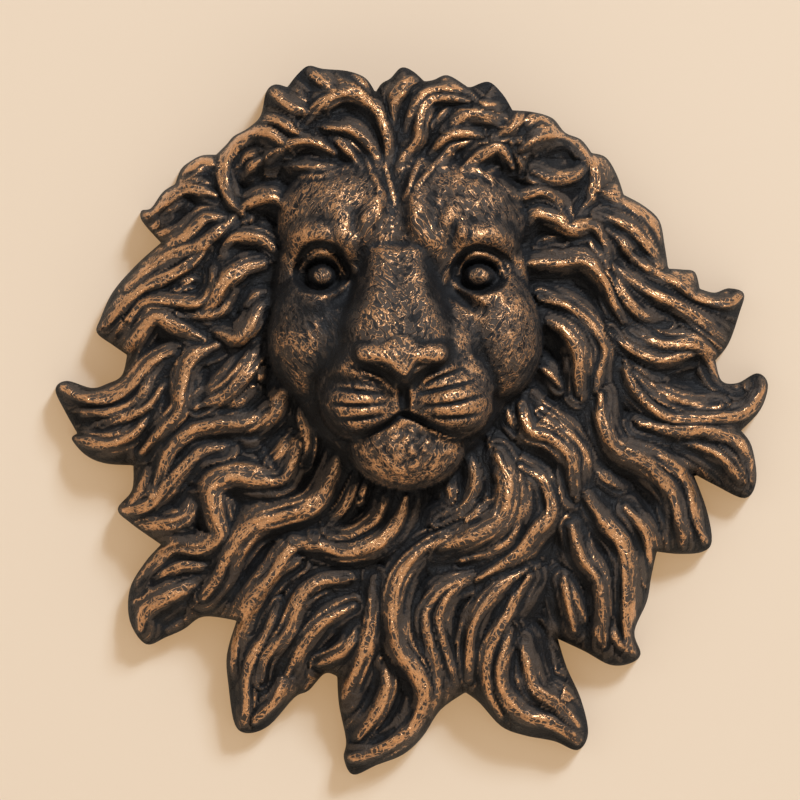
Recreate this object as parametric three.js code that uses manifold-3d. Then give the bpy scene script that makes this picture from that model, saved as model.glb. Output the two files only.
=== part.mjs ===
// Lion head wall planter: a mask in relief with a flowing mane, cast in one piece, with a
// planting pocket hidden behind the crown. Millimetres, +Z up. The flat back lies on the wall
// at y = 0, the face looks along -Y, and x runs to the right as the mask is seen.
import * as THREE from 'three';
import Module from 'manifold-3d';
import { mergeVertices } from 'three/addons/utils/BufferGeometryUtils.js';

const wasm = await Module();
wasm.setup();

// Driving dimensions. The height is that of the outline as it is drawn on the wall
const HEAD_HEIGHT = 398;
const RIM_THICKNESS = 15;
const RIM_ROUND = 8;
const NOSE_REACH = 123;
const BACK_WALL = 7;
const FRONT_WALL = 9;
const POCKET_WIDTH = 130;
const POCKET_DEPTH = 38;
const POCKET_HEIGHT = 108;
const POCKET_CORNER = 26;
const KEYHOLE_OFFSET = 27;
const KEYHOLE_HEIGHT = 92;
const KEYHOLE_HEAD = 13;
const KEYHOLE_SLOT = 5.5;
const KEYHOLE_RISE = 14;
const KEYHOLE_LIP = 3.5;
const KEYHOLE_DEPTH = 11;
const FACET_POINTS = 3300;
const FACET_GRID = 2;

// The carving is drawn for a head this high, and every place in it is a share of that height
const DRAWN_HEIGHT = 398;
const SCALE = HEAD_HEIGHT / DRAWN_HEIGHT;
// The relief stands out in proportion to the reach of the nose
const DRAWN_REACH = 123;
const RELIEF = NOSE_REACH / DRAWN_REACH;

// The sides draw in towards a point far in front of the face, so the cast leaves its mould
const DRAW_X = -6.7 * SCALE;
const DRAW_Z = 11.2 * SCALE;
const DRAW_FAR = 1900 * SCALE;

// Outline of the mane, anticlockwise from the parting: each tip starts at its notch
const MANE_TIPS = [
  [[-20.5, 184], [-26, 192], [-36, 196], [-50, 197.3], [-58, 199], [-64, 194.5]],
  [[-70, 187], [-77, 188.5], [-82, 184], [-85, 171], [-92, 164], [-100, 159.5], [-104, 155]],
  [[-110, 149], [-118, 148.6], [-125, 145], [-130, 140.5]],
  [[-133, 132.5], [-140, 128], [-146.5, 119], [-152, 117.5], [-151.5, 111.5]],
  [[-141, 99.5], [-155, 87], [-168, 72], [-175, 57], [-177, 49], [-168, 42]],
  [[-160, 36.5], [-163, 25], [-171, 20.5], [-180, 18], [-194, 22], [-200.3, 17], [-195, 5]],
  [[-188, -7.5], [-191, -11], [-183, -20], [-172, -24.5]],
  [[-156.5, -25.5], [-157.3, -39.5], [-165.3, -50], [-158, -58]],
  [[-141, -70], [-150, -80], [-158.5, -95], [-158.5, -113], [-149.5, -126], [-138, -122], [-128, -117.5],
    [-117, -110.5]],
  [[-98.5, -112.7], [-104, -132], [-103, -150], [-99.5, -171], [-92, -176], [-80, -171.5], [-66, -156],
    [-58, -152], [-49, -142.5]],
  [[-42, -144], [-41, -160], [-37, -180], [-38.3, -190], [-33, -199.3], [-20, -194], [-5, -188], [6, -178],
    [16, -163]],
  [[30, -153], [38, -159], [50, -172], [63, -177.2], [80, -180.5], [93, -185.5], [99, -176], [95, -157],
    [87, -139]],
  [[82, -123], [97, -130], [111, -137.5], [122, -137], [128.5, -131.5], [125, -119], [132, -102],
    [134.5, -88]],
  [[137.5, -74], [150, -75.3], [163, -74.2], [168.5, -68], [165.5, -50]],
  [[158, -30], [170, -36.5], [187, -44], [193.5, -34], [191, -15]],
  [[185, -6], [196, 6], [200, 20], [194, 26.3], [183, 20.8], [174, 22]],
  [[170.5, 33.5], [178, 43], [184, 60], [186.5, 71], [178, 74], [170, 71.5]],
  [[161.7, 73.7], [159, 83], [152, 84.5]],
  [[144, 85], [142, 98], [139, 112], [130, 120.5]],
  [[119, 126.5], [115, 138], [109, 147.5]],
  [[101, 150], [95, 157.5], [86, 161.5], [79, 169.5], [68, 173]],
  [[56.5, 174], [51, 183], [43, 190], [33, 187]],
  [[30, 188], [20, 193.7], [12, 191]],
  [[7, 190.2], [0.5, 196], [-6, 198], [-12, 192], [-17, 189]],
];

// Locks of the mane, root to tip: half width, rise, path
const LEFT_LOCKS = [
  [5.5, 8, [[-62, 166], [-50, 178], [-36, 184], [-22, 177], [-14, 160], [-13, 143]]],
  [4.5, 6, [[-49, 164], [-34, 162], [-23, 152], [-17, 140]]],
  [3.5, 5, [[-44, 160], [-36, 151], [-29, 142]]],
  [5, 7, [[-80, 186], [-70, 178], [-60, 173.5], [-52, 172]]],
  [4.5, 6, [[-57, 196], [-50, 190], [-41, 183]]],
  [4, 6, [[-36, 195], [-29, 192], [-22, 183]]],
  [5, 8, [[-70, 152], [-80, 160], [-92, 161.5], [-103, 153], [-107, 138], [-103, 124], [-96, 116]]],
  [4, 6, [[-80, 147], [-66, 155.5], [-54, 156], [-44, 150]]],
  [3.5, 5, [[-66, 142], [-52, 142], [-40, 141]]],
  [4, 6, [[-84, 170], [-75, 168], [-66, 162], [-58, 160]]],
  [4, 7, [[-98, 117], [-87, 123], [-78, 124], [-69, 118]]],
  [4, 7, [[-107, 95], [-101, 102], [-90, 103], [-82, 100], [-76, 94]]],
  [5, 7, [[-108, 142], [-118, 146], [-128, 139]]],
  [4.5, 7, [[-110, 126], [-126, 130], [-138, 123], [-149, 115]]],
  [5, 7, [[-104, 112], [-116, 113], [-126, 104], [-140, 97.5], [-150, 92]]],
  [5.5, 8, [[-100, 114], [-110, 105], [-120, 97.5], [-135, 92], [-150, 83], [-160, 75]]],
  [5, 7, [[-113, 103], [-122, 90], [-134, 82], [-150, 74], [-162, 64], [-172, 54]]],
  [6, 9, [[-84, 87], [-96, 84], [-106, 76], [-112, 66], [-118, 60]]],
  [4.5, 7, [[-159, 57], [-150, 66], [-135, 66], [-120, 65.5], [-113, 74], [-112, 85]]],
  [4, 6, [[-130, 61], [-118, 58.5], [-107, 62], [-102, 73]]],
  [5.5, 8, [[-162, 33], [-156, 44], [-145, 57.5], [-133, 52], [-118, 44]]],
  [6, 9, [[-109, 48], [-99, 45.5], [-91, 52], [-86, 61], [-80, 66]]],
  [5, 7, [[-196, 18], [-184, 12], [-170, 12], [-158, 20], [-147, 32], [-134, 39]]],
  [4.5, 6, [[-184, 4], [-168, 4.5], [-155, 10], [-146, 25], [-138, 35]]],
  [4, 6, [[-174, -3], [-160, 2], [-148, 8], [-140, 20]]],
  [5.5, 7, [[-186, -12], [-170, -13.5], [-156, -8], [-147, 4]]],
  [6.5, 9, [[-110, 42.5], [-124, 34], [-129, 18], [-131, 5], [-142, -7], [-151, -18]]],
  [8, 8, [[-86, 40], [-94, 27], [-105, 15], [-121, 7]]],
  [4, 5, [[-91, 16], [-98, 9.5], [-107, 6]]],
  [5.5, 8, [[-80, 6], [-92, -2], [-108, -3], [-124, -6], [-137, -17], [-141, -30], [-145, -45]]],
  [5.5, 7, [[-107, -16], [-120, -19], [-131, -29], [-139, -38], [-148, -48], [-160, -52]]],
  [5, 6, [[-122, -45], [-128, -56], [-140, -59.5], [-152, -60]]],
  [7.5, 10, [[-64, -14], [-72, -33], [-86, -34], [-101, -32.5], [-112, -39], [-111, -53], [-109, -66],
    [-120, -73], [-134, -71.5], [-146, -80], [-155, -90]]],
  [5, 7, [[-61, 12], [-62, 2], [-59, -10], [-61, -24]]],
  [5, 7, [[-70, 26], [-73, 14], [-80, 2], [-91, -6]]],
  [8, 10, [[-40, -16], [-46, -32], [-56, -48], [-74, -54], [-90, -60], [-101, -73], [-109, -89],
    [-117, -99]]],
  [6, 8, [[-120, -92], [-136, -99], [-150, -108], [-153, -117]]],
  [4.5, 6, [[-114, -83], [-130, -83], [-146, -91]]],
  [6, 8, [[-54, -70], [-68, -72], [-78, -87], [-91, -103], [-99, -122], [-101, -141]]],
  [4.5, 6, [[-64, -80], [-76, -89], [-86, -104], [-92, -118]]],
];
const BEARD_LOCKS = [
  [6.5, 9, [[-66, -70], [-50, -71.5], [-36, -74.5], [-19, -69], [-8, -57], [-3, -43]]],
  [4.5, 6, [[-46, -65], [-33, -65], [-20, -56], [-15, -42]]],
  [3.5, 4, [[-31, -34], [-37, -47], [-46, -57]]],
  [6, 8, [[-37, -90], [-52, -91.5], [-63, -101], [-71, -120], [-82, -133], [-85, -146]]],
  [4.5, 6, [[-75, -104], [-82, -120], [-92, -138], [-93, -160], [-95, -170]]],
  [4.5, 6, [[-70, -142], [-76, -157], [-88, -168]]],
  [6, 7, [[-33, -105], [-50, -114], [-62, -128], [-70, -142]]],
  [4.5, 6, [[-30, -118], [-38, -130], [-52, -137]]],
  [6, 7, [[-20, -90], [-23, -118], [-31, -140], [-38, -155]]],
  [7, 10, [[30, -62], [8, -72], [-6, -86], [-11, -105], [-8, -128], [3, -144], [6, -158], [-2, -175],
    [-18, -186], [-34, -190]]],
  [4.5, 6, [[-16, -136], [-14, -150], [-20, -165], [-30, -178]]],
  [5, 7, [[36, -89], [20, -94], [8, -108], [10, -128], [15, -150], [10, -166]]],
  [4.5, 6, [[38, -90], [24, -95], [15, -111], [19, -130], [24, -148]]],
  [11, 11, [[48, -20], [54, -36], [50, -55], [34, -66], [16, -72]]],
  [5, 6, [[60, -30], [62, -50], [52, -70], [28, -79]]],
  [4.5, 5, [[31, -17], [35, -33], [29, -48], [15, -56]]],
  [5.5, 8, [[61, -26], [74, -36], [78, -52], [69, -63], [60, -75], [48, -83], [36, -90]]],
  [6, 7, [[64, -85], [46, -98], [34, -117], [32, -145]]],
  [5.5, 7, [[66, -88], [54, -109], [43, -130], [42, -150], [50, -166]]],
  [6.5, 8, [[55, -118], [49, -146], [60, -164], [78, -171], [93, -180]]],
  [5, 7, [[62, -124], [68, -150], [82, -160], [93, -172]]],
  [6, 7, [[90, -60], [95, -77], [105, -91], [107, -108], [107, -126]]],
];
const RIGHT_LOCKS = [
  [6, 8, [[97, -42], [107, -57], [118, -70], [120, -92], [121, -115], [124, -130]]],
  [5, 6, [[120, -50], [131, -64], [135, -86]]],
  [4, 5, [[85, -90], [88, -104], [91, -118]]],
  [7, 9, [[106, 14], [107, -2], [114, -16], [132, -25], [146, -40], [151, -60], [152, -70]]],
  [5, 7, [[120, -17], [140, -23], [155, -35], [159, -55], [165, -68]]],
  [6, 8, [[128, -2], [145, -6], [165, -6.5], [181, -10], [190, -22], [191, -34]]],
  [5, 6, [[152, -11], [172, -20], [185, -34]]],
  [5.5, 8, [[120, 29], [126, 15], [142, 2], [160, 0], [185, 2], [197, 14], [198, 24]]],
  [4.5, 6, [[124, 27], [136, 16], [155, 9], [172, 9]]],
  [4.5, 7, [[112, 51], [123, 40], [140, 34], [156, 37], [166, 39]]],
  [6, 8, [[123, 50], [140, 43], [158, 43], [168, 36], [174, 25], [182, 20]]],
  [5, 7, [[111, 84], [118, 71], [130, 59], [142, 56]]],
  [6, 8, [[113, 87], [130, 74], [150, 64], [166, 53], [178, 43]]],
  [5, 8, [[119, 96], [129, 87], [145, 79], [162, 68], [178, 66], [185, 71]]],
  [4.5, 6, [[110, 107], [120, 97], [125, 87]]],
  [5, 7, [[104, 116], [123, 108], [134, 96], [139, 88]]],
  [5, 7, [[103, 127], [120, 124], [135, 112], [142, 95]]],
  [5.5, 9, [[62, 152], [72, 158.5], [87, 160.5], [98, 152], [103, 137], [101, 125], [95, 118]]],
  [4.5, 7, [[69, 138], [80, 134.5], [92, 137], [99, 145]]],
  [6, 9, [[60, 105], [69, 115], [80, 113], [90, 107.5], [102, 108], [109, 97], [111, 87]]],
  [4, 6, [[50, 131], [61, 125], [74, 128], [84, 121], [89, 110]]],
  [6, 9, [[66, 88], [82, 88.5], [96, 89], [107, 80], [114, 66], [119, 56]]],
  [5, 7, [[72, 69], [88, 63], [101, 53], [108, 40], [105, 24], [104, 12]]],
  [7, 9, [[73, 57], [86, 51], [93, 38], [93, 24], [94, 15]]],
  [8, 9, [[62, 8], [66, -6], [78, -11], [89, -22], [91, -41]]],
  [4.5, 6, [[72, 5], [86, -5], [97, -20], [97, -38]]],
  [3.5, 4, [[53, 8], [55, 1], [59, -6]]],
  [5, 7, [[5, 193], [-6, 186], [-11, 177], [-10, 166]]],
  [4.5, 8, [[32, 179], [14, 181], [6, 174], [3, 158], [-5, 147], [-9, 134]]],
  [4.5, 7, [[36, 179], [26, 186], [8, 184], [0, 172], [-5, 158]]],
  [4.5, 6, [[20, 163], [31, 171], [42, 170], [52, 166]]],
  [4, 6, [[11, 150], [22, 160], [38, 160]]],
  [4, 6, [[4, 141], [14, 143], [22, 153], [34, 157]]],
];
const CROWN_LOCKS = [
  [4.5, 7, [[30, 141], [39, 149], [49, 153], [56, 142]]],
  [4.5, 6, [[62, 175], [57, 165], [47, 159]]],
  [4, 6, [[61, 164], [72, 171], [84, 166]]],
];

// Rounded masses of the face: centre x, z, half width, half height, turn, low, high, fullness
const FACE_MASSES = [
  [-6, 62, 73, 92, 0, 46, 80, 0.34],
  [-6, 110, 66, 39, 0, 44, 85, 0.7],
  [-41, 112, 35, 34, 12, 50, 80, 0.6],
  [29, 112, 35, 34, -12, 50, 80, 0.6],
  [-6, 16, 55, 52, 0, 44, 86, 0.5],
  [-54, 50, 27, 38, -12, 58, 89, 0.6],
  [46, 50, 27, 38, 12, 58, 89, 0.6],
  [-32, 38, 24, 38, -9, 64, 99, 0.8],
  [20, 38, 24, 38, 9, 64, 99, 0.8],
];
const MUZZLE_MASSES = [
  [-4, 18, 50, 32, 0, 78, 106, 0.4],
  [-28, 10, 24, 21.5, 14, 84, 113, 0.65],
  [21, 10, 24.5, 21, -10, 84, 113, 0.65],
  [-3, -15, 33, 24.5, 0, 74, 102, 0.6],
];
const EYE_SOCKETS = [[-50.5, 82.5, 17, 12, 6], [38, 82.5, 17, 12, -6]];
const SOCKET_DEPTH = 14;
const EYEBALLS = [[-50.3, 81, 7.8, 6.9], [37.8, 81, 8.6, 6.9]];
const EYEBALL_EDGE = 69;
const EYEBALL_RISE = 10;

// Bridge of the nose: it widens and rises from between the brows down to the muzzle
const BRIDGE_X = -8.5;
const BRIDGE_BROW = 100;
const BRIDGE_WAIST = 46;
const BRIDGE_FOOT = 24;
const BRIDGE_HALF_WIDTH = 19;
const BRIDGE_SPREAD = 11;
const BRIDGE_FLARE = 7;
const BRIDGE_TOP = 85;
const BRIDGE_RISE = 33;
const BRIDGE_FLANK = 17;
const BRIDGE_FILLET = 7;

// Bare nose: a broad wing with round ends, and a tip that narrows down to the lip
const NOSE_WING = { from: [-27, 38.3], to: [14.5, 38], wide: 6.3, narrow: 6.3 };
const NOSE_TIP = { from: [-5.5, 36.5], to: [-3.7, 23.4], wide: 11.5, narrow: 2.8 };
const NOSE_EDGE = 5.5;
const NOSE_BASE = 110;
const NOSE_LIFT = 13;
const NOSE_BOW = 3;
const NOSE_SLOPE = 4;

// Soft ridges of the brow and the bridge: half width, rise, path
const FACE_RIDGES = [
  [11, 7, [[-70, 94], [-63, 102], [-52, 104], [-38, 99]]],
  [11, 7, [[27, 99], [39, 103], [50, 102], [61, 94]]],
  [8, 4, [[-34, 89], [-37, 102], [-42, 118]]],
  [8, 4.5, [[-31, 96], [-27, 107], [-18, 127]]],
  [9, 4.5, [[20, 86], [12.5, 99], [4.5, 109], [3.5, 120], [6, 136]]],
  [6, 3.5, [[16, 99], [18.5, 108], [25, 122]]],
  [11, 3, [[-20, 101], [-19, 82], [-23, 58]]],
  [11, 3, [[5, 97], [5, 80], [9, 58]]],
];

// Furrows cut in the face: half width, depth, path
const FURROWS = [
  [4.5, 11, [[-33, 31], [-24, 30.5], [-14, 26], [-8.5, 20]]],
  [4.5, 11, [[21, 31.5], [12, 30.5], [5.5, 26.5], [1, 20]]],
  [2.8, 8, [[-4.5, 22], [-4.5, 14], [-4, 4]]],
  [3, 8, [[-42, -10], [-28, -8.5], [-15, -3], [-4.5, 2.8], [10, -2.8], [22, -7.5], [38, -10]]],
  [2.2, 3.5, [[-42, 17.5], [-30, 16], [-17, 14.5]]],
  [2.2, 3.5, [[-44, 8], [-30, 8], [-16, 9]]],
  [2.2, 3.5, [[8, 16], [20, 18], [34, 21]]],
  [2.2, 3.5, [[10, 9], [24, 9.5], [38, 14]]],
  [9, 6, [[-11, 138], [-9, 120], [-8, 103]]],
  [3.4, 6, [[-66, 85], [-59, 96], [-50, 98.5], [-40.5, 93], [-34, 80]]],
  [3.4, 6, [[21.5, 76], [25, 87], [31.5, 95], [41, 96], [52, 91], [58, 84]]],
  [4, 7, [[-36, 84], [-35, 77], [-38, 69], [-48, 65]]],
  [4, 7, [[23, 80], [22.5, 73], [30, 67], [39, 61.5]]],
];
const EYELIDS = [
  [3.2, 6, [[-64, 83], [-59.2, 90], [-50.7, 92.7], [-43.3, 90], [-38, 83]]],
  [3.2, 6, [[25, 83], [30.7, 90.8], [38.2, 92.9], [46.6, 90], [52.5, 82]]],
];

// Sizes that the face and the mane share, in the drawing's millimetres
const MIDLINE = -6;
const FACE_FILLET = 13;
const MUZZLE_FILLET = 6;
const MANE_FILLET = 1.5;
const BROW_FILLET = 12;
const BROW_FROM = 50;
const BROW_TO = 85;
const HOLLOW = -60;

// A lock: its body spreads this many half widths, further on the lit side, under a low crest
const LOCK_SPREAD = 3;
const LOCK_LEAN = 1.2;
const LOCK_CREST = 0.28;
const LOCK_BODY = 0.98;

// The mane rises from its rim, swells towards the face and sinks between the locks
const RIM_RISE = 7;
const RIM_REACH = 9;
const SWELL_RISE = 31;
const SWELL_Z = 30;
const SWELL_HALF_WIDTH = 160;
const SWELL_HALF_HEIGHT = 185;
const SWELL_FALL = 1.1;
const VALLEY_DEPTH = 4.5;
const VALLEY_WIDTH = 8;
const VALLEY_FROM = 4;
const VALLEY_TO = 16;

// The drawing lies in a square sheet that leaves two steps of the grid free around the outline
const REACHES = MANE_TIPS.flat(2).map(Math.abs);
const SHEET_HALF = FACET_GRID * (Math.ceil(Math.max(...REACHES) / FACET_GRID) + 2);

const POCKET_X = MIDLINE * SCALE;
const CROWN_EDGE = BACK_WALL + POCKET_DEPTH + FRONT_WALL;
const CROWN_ARCH = 170 * SCALE;
const ARCH_RISE = 14 * SCALE;
const CROWN_CLEAR = 240 * SCALE;
// The crown thickens between these heights, and thins out beside the pocket
const CROWN_FROM = 100;
const CROWN_FULL = 158;
const CROWN_MARGIN = 5;
const CROWN_FADE = 34;

function clamp01(value) {
  return Math.min(1, Math.max(0, value));
}

function ease(from, to, value) {
  const t = clamp01((value - from) / (to - from));
  return t * t * (3 - 2 * t);
}

// The greater of two heights, with their meeting filled by a soft fillet
function blend(a, b, fillet) {
  const share = clamp01(0.5 + (0.5 * (a - b)) / fillet);
  return b * (1 - share) + a * share + fillet * share * (1 - share);
}

// Smooth path through hand-set points, as a list of [x, z]
function smoothPath(points, steps) {
  const curve = new THREE.SplineCurve(points.map(([x, z]) => new THREE.Vector2(x, z)));
  return curve.getPoints((points.length - 1) * steps).map((p) => [p.x, p.y]);
}

function maneOutline() {
  const points = [];
  MANE_TIPS.forEach((tip, i) => {
    const next = MANE_TIPS[(i + 1) % MANE_TIPS.length][0];
    points.push(...smoothPath([...tip, next], 3).slice(0, -1));
  });
  return points;
}

// Nearest place on a path: distance, share of the length and side (+1 on the left hand)
function nearest(path, lengths, x, z) {
  let best = Infinity;
  let share = 0;
  let side = 1;
  let leg = 0;
  for (let i = 0; i + 1 < path.length; i++) {
    const [ax, az] = path[i];
    const dx = path[i + 1][0] - ax;
    const dz = path[i + 1][1] - az;
    const square = dx * dx + dz * dz;
    if (square === 0) continue;
    const t = clamp01(((x - ax) * dx + (z - az) * dz) / square);
    const ex = x - ax - t * dx;
    const ez = z - az - t * dz;
    const gap = ex * ex + ez * ez;
    if (gap < best) {
      best = gap;
      share = lengths[i] + t * (lengths[i + 1] - lengths[i]);
      side = Math.sign(dx * (z - az) - dz * (x - ax));
      leg = i;
    }
  }
  return { gap: Math.sqrt(best), share, side, leg };
}

function shareOfLength(path) {
  const lengths = [0];
  for (let i = 1; i < path.length; i++) {
    lengths.push(lengths[i - 1] + Math.hypot(path[i][0] - path[i - 1][0], path[i][1] - path[i - 1][1]));
  }
  return lengths.map((length) => length / lengths.at(-1));
}

// One lock at a place: its rise over the mane, and how far the place lies beside it
function lockAt(width, rise, path) {
  const lengths = shareOfLength(path);
  return (x, z) => {
    const near = nearest(path, lengths, x, z);
    const swell = 0.3 + 0.7 * Math.sin(Math.PI * (0.1 + 0.82 * near.share));
    const dx = path[near.leg + 1][0] - path[near.leg][0];
    const dz = path[near.leg + 1][1] - path[near.leg][1];
    const lit = (1.6 * (0.8 * dx - 0.5 * dz)) / (Math.hypot(dx, dz) + 1e-9);
    const spread = LOCK_SPREAD + LOCK_LEAN * near.side * Math.min(1, Math.max(-1, lit));
    const across = near.gap / (width * swell);
    const crest = Math.max(0, 1 - across * across);
    const body = (1 - clamp01(across / spread) ** 1.4) ** 1.6;
    return { rise: rise * swell * (LOCK_CREST * crest + LOCK_BODY * body), beside: near.gap - width };
  };
}

// Round-bottomed cut along a path, dying away at both ends
function cutAlong(width, depth, path, fullness) {
  const lengths = shareOfLength(path);
  return (x, z) => {
    const near = nearest(path, lengths, x, z);
    const across = clamp01(near.gap / width);
    const ends = Math.sin(Math.PI * (0.1 + 0.8 * near.share));
    return depth * ends * (1 - across * across) ** fullness;
  };
}

// Square of sample points that holds the height of the carving, in the drawing's millimetres
class Field {
  constructor(half, step, start) {
    this.half = half;
    this.step = step;
    this.count = Math.round((2 * half) / step) + 1;
    this.values = new Float64Array(this.count * this.count).fill(start);
  }

  at(index) {
    return -this.half + index * this.step;
  }

  // Runs a change over every sample in a box
  edit([lowX, lowZ, highX, highZ], change) {
    const { count, half, step, values } = this;
    const first = (low) => Math.max(0, Math.ceil((low + half) / step));
    const last = (high) => Math.min(count - 1, Math.floor((high + half) / step));
    for (let row = first(lowZ); row <= last(highZ); row++) {
      for (let col = first(lowX); col <= last(highX); col++) {
        const k = row * count + col;
        values[k] = change(values[k], this.at(col), this.at(row));
      }
    }
  }

  everywhere(change) {
    this.edit([-this.half, -this.half, this.half, this.half], change);
  }
}

function boxAround(path, margin) {
  const xs = path.map((p) => p[0]);
  const zs = path.map((p) => p[1]);
  const low = [Math.min(...xs) - margin, Math.min(...zs) - margin];
  return [...low, Math.max(...xs) + margin, Math.max(...zs) + margin];
}

// How far a place lies inside an oval: 1 at its middle, 0 and less outside
function ovalShare(x, z, [cx, cz, rx, rz, turn = 0]) {
  const angle = THREE.MathUtils.degToRad(turn);
  const u = ((x - cx) * Math.cos(angle) + (z - cz) * Math.sin(angle)) / rx;
  const v = (-(x - cx) * Math.sin(angle) + (z - cz) * Math.cos(angle)) / rz;
  return 1 - u * u - v * v;
}

function raiseMass(field, mass, fillet) {
  const [, , , , , low, high, fullness] = mass;
  field.everywhere((value, x, z) => {
    const share = ovalShare(x, z, mass);
    const form = share > 0 ? low + (high - low) * share ** fullness : HOLLOW;
    return blend(value, form, fillet);
  });
}

function raiseBridge(field) {
  field.everywhere((value, x, z) => {
    const spread = 1 - ease(BRIDGE_WAIST, BRIDGE_BROW, z);
    const flare = 1 - ease(BRIDGE_FOOT, BRIDGE_WAIST, z);
    const half = BRIDGE_HALF_WIDTH + BRIDGE_SPREAD * spread + BRIDGE_FLARE * flare;
    const across = Math.abs(x - BRIDGE_X) / half;
    if (across >= 1.5) return blend(value, HOLLOW, BRIDGE_FILLET);
    const top = BRIDGE_TOP + BRIDGE_RISE * (1 - ease(36, 112, z)) - 24 * (1 - ease(6, 30, z));
    const ends = 50 * ease(94, 116, z) + 90 * (1 - ease(-4, 12, z));
    return blend(value, top - BRIDGE_FLANK * across ** 3 - ends, BRIDGE_FILLET);
  });
}

// How far a place lies inside a bar with round ends that tapers from its wide end
function barInset(x, z, { from, to, wide, narrow }) {
  const near = nearest([from, to], [0, 1], x, z);
  return wide + (narrow - wide) * near.share - near.gap;
}

function raiseNose(field) {
  const [left, low, right, high] = [-36, 17, 24, 48];
  field.edit([left, low, right, high], (value, x, z) => {
    const inset = blend(barInset(x, z, NOSE_WING), barInset(x, z, NOSE_TIP), 3) / NOSE_EDGE;
    if (inset <= 0) return value;
    const round = Math.sqrt(1 - (1 - clamp01(inset)) ** 2);
    const away = NOSE_BOW * ((x - MIDLINE) / NOSE_WING.from[0]) ** 2 + NOSE_SLOPE * ease(36, 46, z);
    return Math.max(value, NOSE_BASE + NOSE_LIFT * round - away);
  });
}

// Runs a change over the samples near each path of a table
function alongPaths(field, rows, fullness, change) {
  rows.forEach(([width, height, points]) => {
    const path = smoothPath(points, 6);
    const cut = cutAlong(width, height, path, fullness);
    field.edit(boxAround(path, width), (value, x, z) => change(value, cut(x, z)));
  });
}

function carveFace() {
  const face = new Field(SHEET_HALF, FACET_GRID, HOLLOW);
  FACE_MASSES.forEach((mass) => raiseMass(face, mass, FACE_FILLET));
  raiseBridge(face);
  alongPaths(face, FACE_RIDGES, 2, (value, rise) => value + rise);
  EYE_SOCKETS.forEach((socket) => {
    face.everywhere((value, x, z) => value - SOCKET_DEPTH * Math.max(0, ovalShare(x, z, socket)) ** 0.7);
  });
  MUZZLE_MASSES.forEach((mass) => raiseMass(face, mass, MUZZLE_FILLET));
  raiseNose(face);
  alongPaths(face, FURROWS, 1, (value, depth) => value - depth);
  EYEBALLS.forEach((ball) => {
    face.everywhere((value, x, z) => {
      const share = ovalShare(x, z, ball);
      return share > 0 ? Math.max(value, EYEBALL_EDGE + EYEBALL_RISE * Math.sqrt(share)) : value;
    });
  });
  alongPaths(face, EYELIDS, 0.7, (value, rise) => value + rise);
  return face;
}

// Rise of the locks over the mane, and how far each place lies from the nearest lock's side
function carveLocks() {
  const locks = new Field(SHEET_HALF, FACET_GRID, 0);
  const beside = new Field(SHEET_HALF, FACET_GRID, VALLEY_WIDTH);
  [...LEFT_LOCKS, ...BEARD_LOCKS, ...RIGHT_LOCKS, ...CROWN_LOCKS].forEach(([width, rise, points]) => {
    const path = smoothPath(points, 4);
    const lock = lockAt(width, rise, path);
    const box = boxAround(path, Math.max((LOCK_SPREAD + LOCK_LEAN) * width, width + VALLEY_WIDTH));
    locks.edit(box, (value, x, z) => Math.max(value, lock(x, z).rise));
    beside.edit(box, (value, x, z) => Math.min(value, lock(x, z).beside));
  });
  return { locks, beside };
}

// Share of the crown's full thickness: the mane is thick where the pocket lies behind it
function crownShare(x, z) {
  const edge = POCKET_WIDTH / 2 / SCALE + CROWN_MARGIN;
  const side = Math.abs(x - MIDLINE);
  return ease(CROWN_FROM, CROWN_FULL, z) * (1 - ease(edge, edge + CROWN_FADE, side));
}

// Height of the rim off the wall, in millimetres
function rimHeight(x, z) {
  return RIM_THICKNESS + (CROWN_EDGE - RIM_THICKNESS) * crownShare(x, z);
}

function insideOutline(outline, x, z) {
  let inside = false;
  for (let i = 0, j = outline.length - 1; i < outline.length; j = i++) {
    const [ax, az] = outline[i];
    const [bx, bz] = outline[j];
    if (az > z !== bz > z && x < ((bx - ax) * (z - az)) / (bz - az) + ax) inside = !inside;
  }
  return inside;
}

// Height of the whole mask off the wall in millimetres, zero outside the outline
function carveMask(outline) {
  const face = carveFace();
  const { locks, beside } = carveLocks();
  const mask = new Field(SHEET_HALF, FACET_GRID, 0);
  const ring = [...outline, outline[0]];
  const lengths = shareOfLength(ring);
  let k = 0;
  mask.everywhere((value, x, z) => {
    const here = k++;
    if (!insideOutline(outline, x, z)) return 0;
    const gap = nearest(ring, lengths, x, z).gap;
    if (gap < FACET_GRID / 2) return 0;
    const rim = rimHeight(x, z);
    const spread = ((x - MIDLINE) / SWELL_HALF_WIDTH) ** 2 + ((z - SWELL_Z) / SWELL_HALF_HEIGHT) ** 2;
    const swell = SWELL_RISE * Math.exp(-SWELL_FALL * spread * spread) * (1 - crownShare(x, z));
    const base = RIM_RISE * (1 - Math.exp(-gap / RIM_REACH)) + swell;
    const between = ease(0, VALLEY_WIDTH, beside.values[here]) * ease(VALLEY_FROM, VALLEY_TO, gap);
    const mane = rim + RELIEF * (base + locks.values[here] - VALLEY_DEPTH * between);
    const fillet = MANE_FILLET + BROW_FILLET * ease(BROW_FROM, BROW_TO, z);
    const full = blend(mane, RELIEF * face.values[here], fillet);
    const inset = 1 - clamp01((gap * SCALE) / RIM_ROUND);
    return rim + (full - rim) * Math.sqrt(1 - inset * inset);
  });
  return mask;
}

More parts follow.
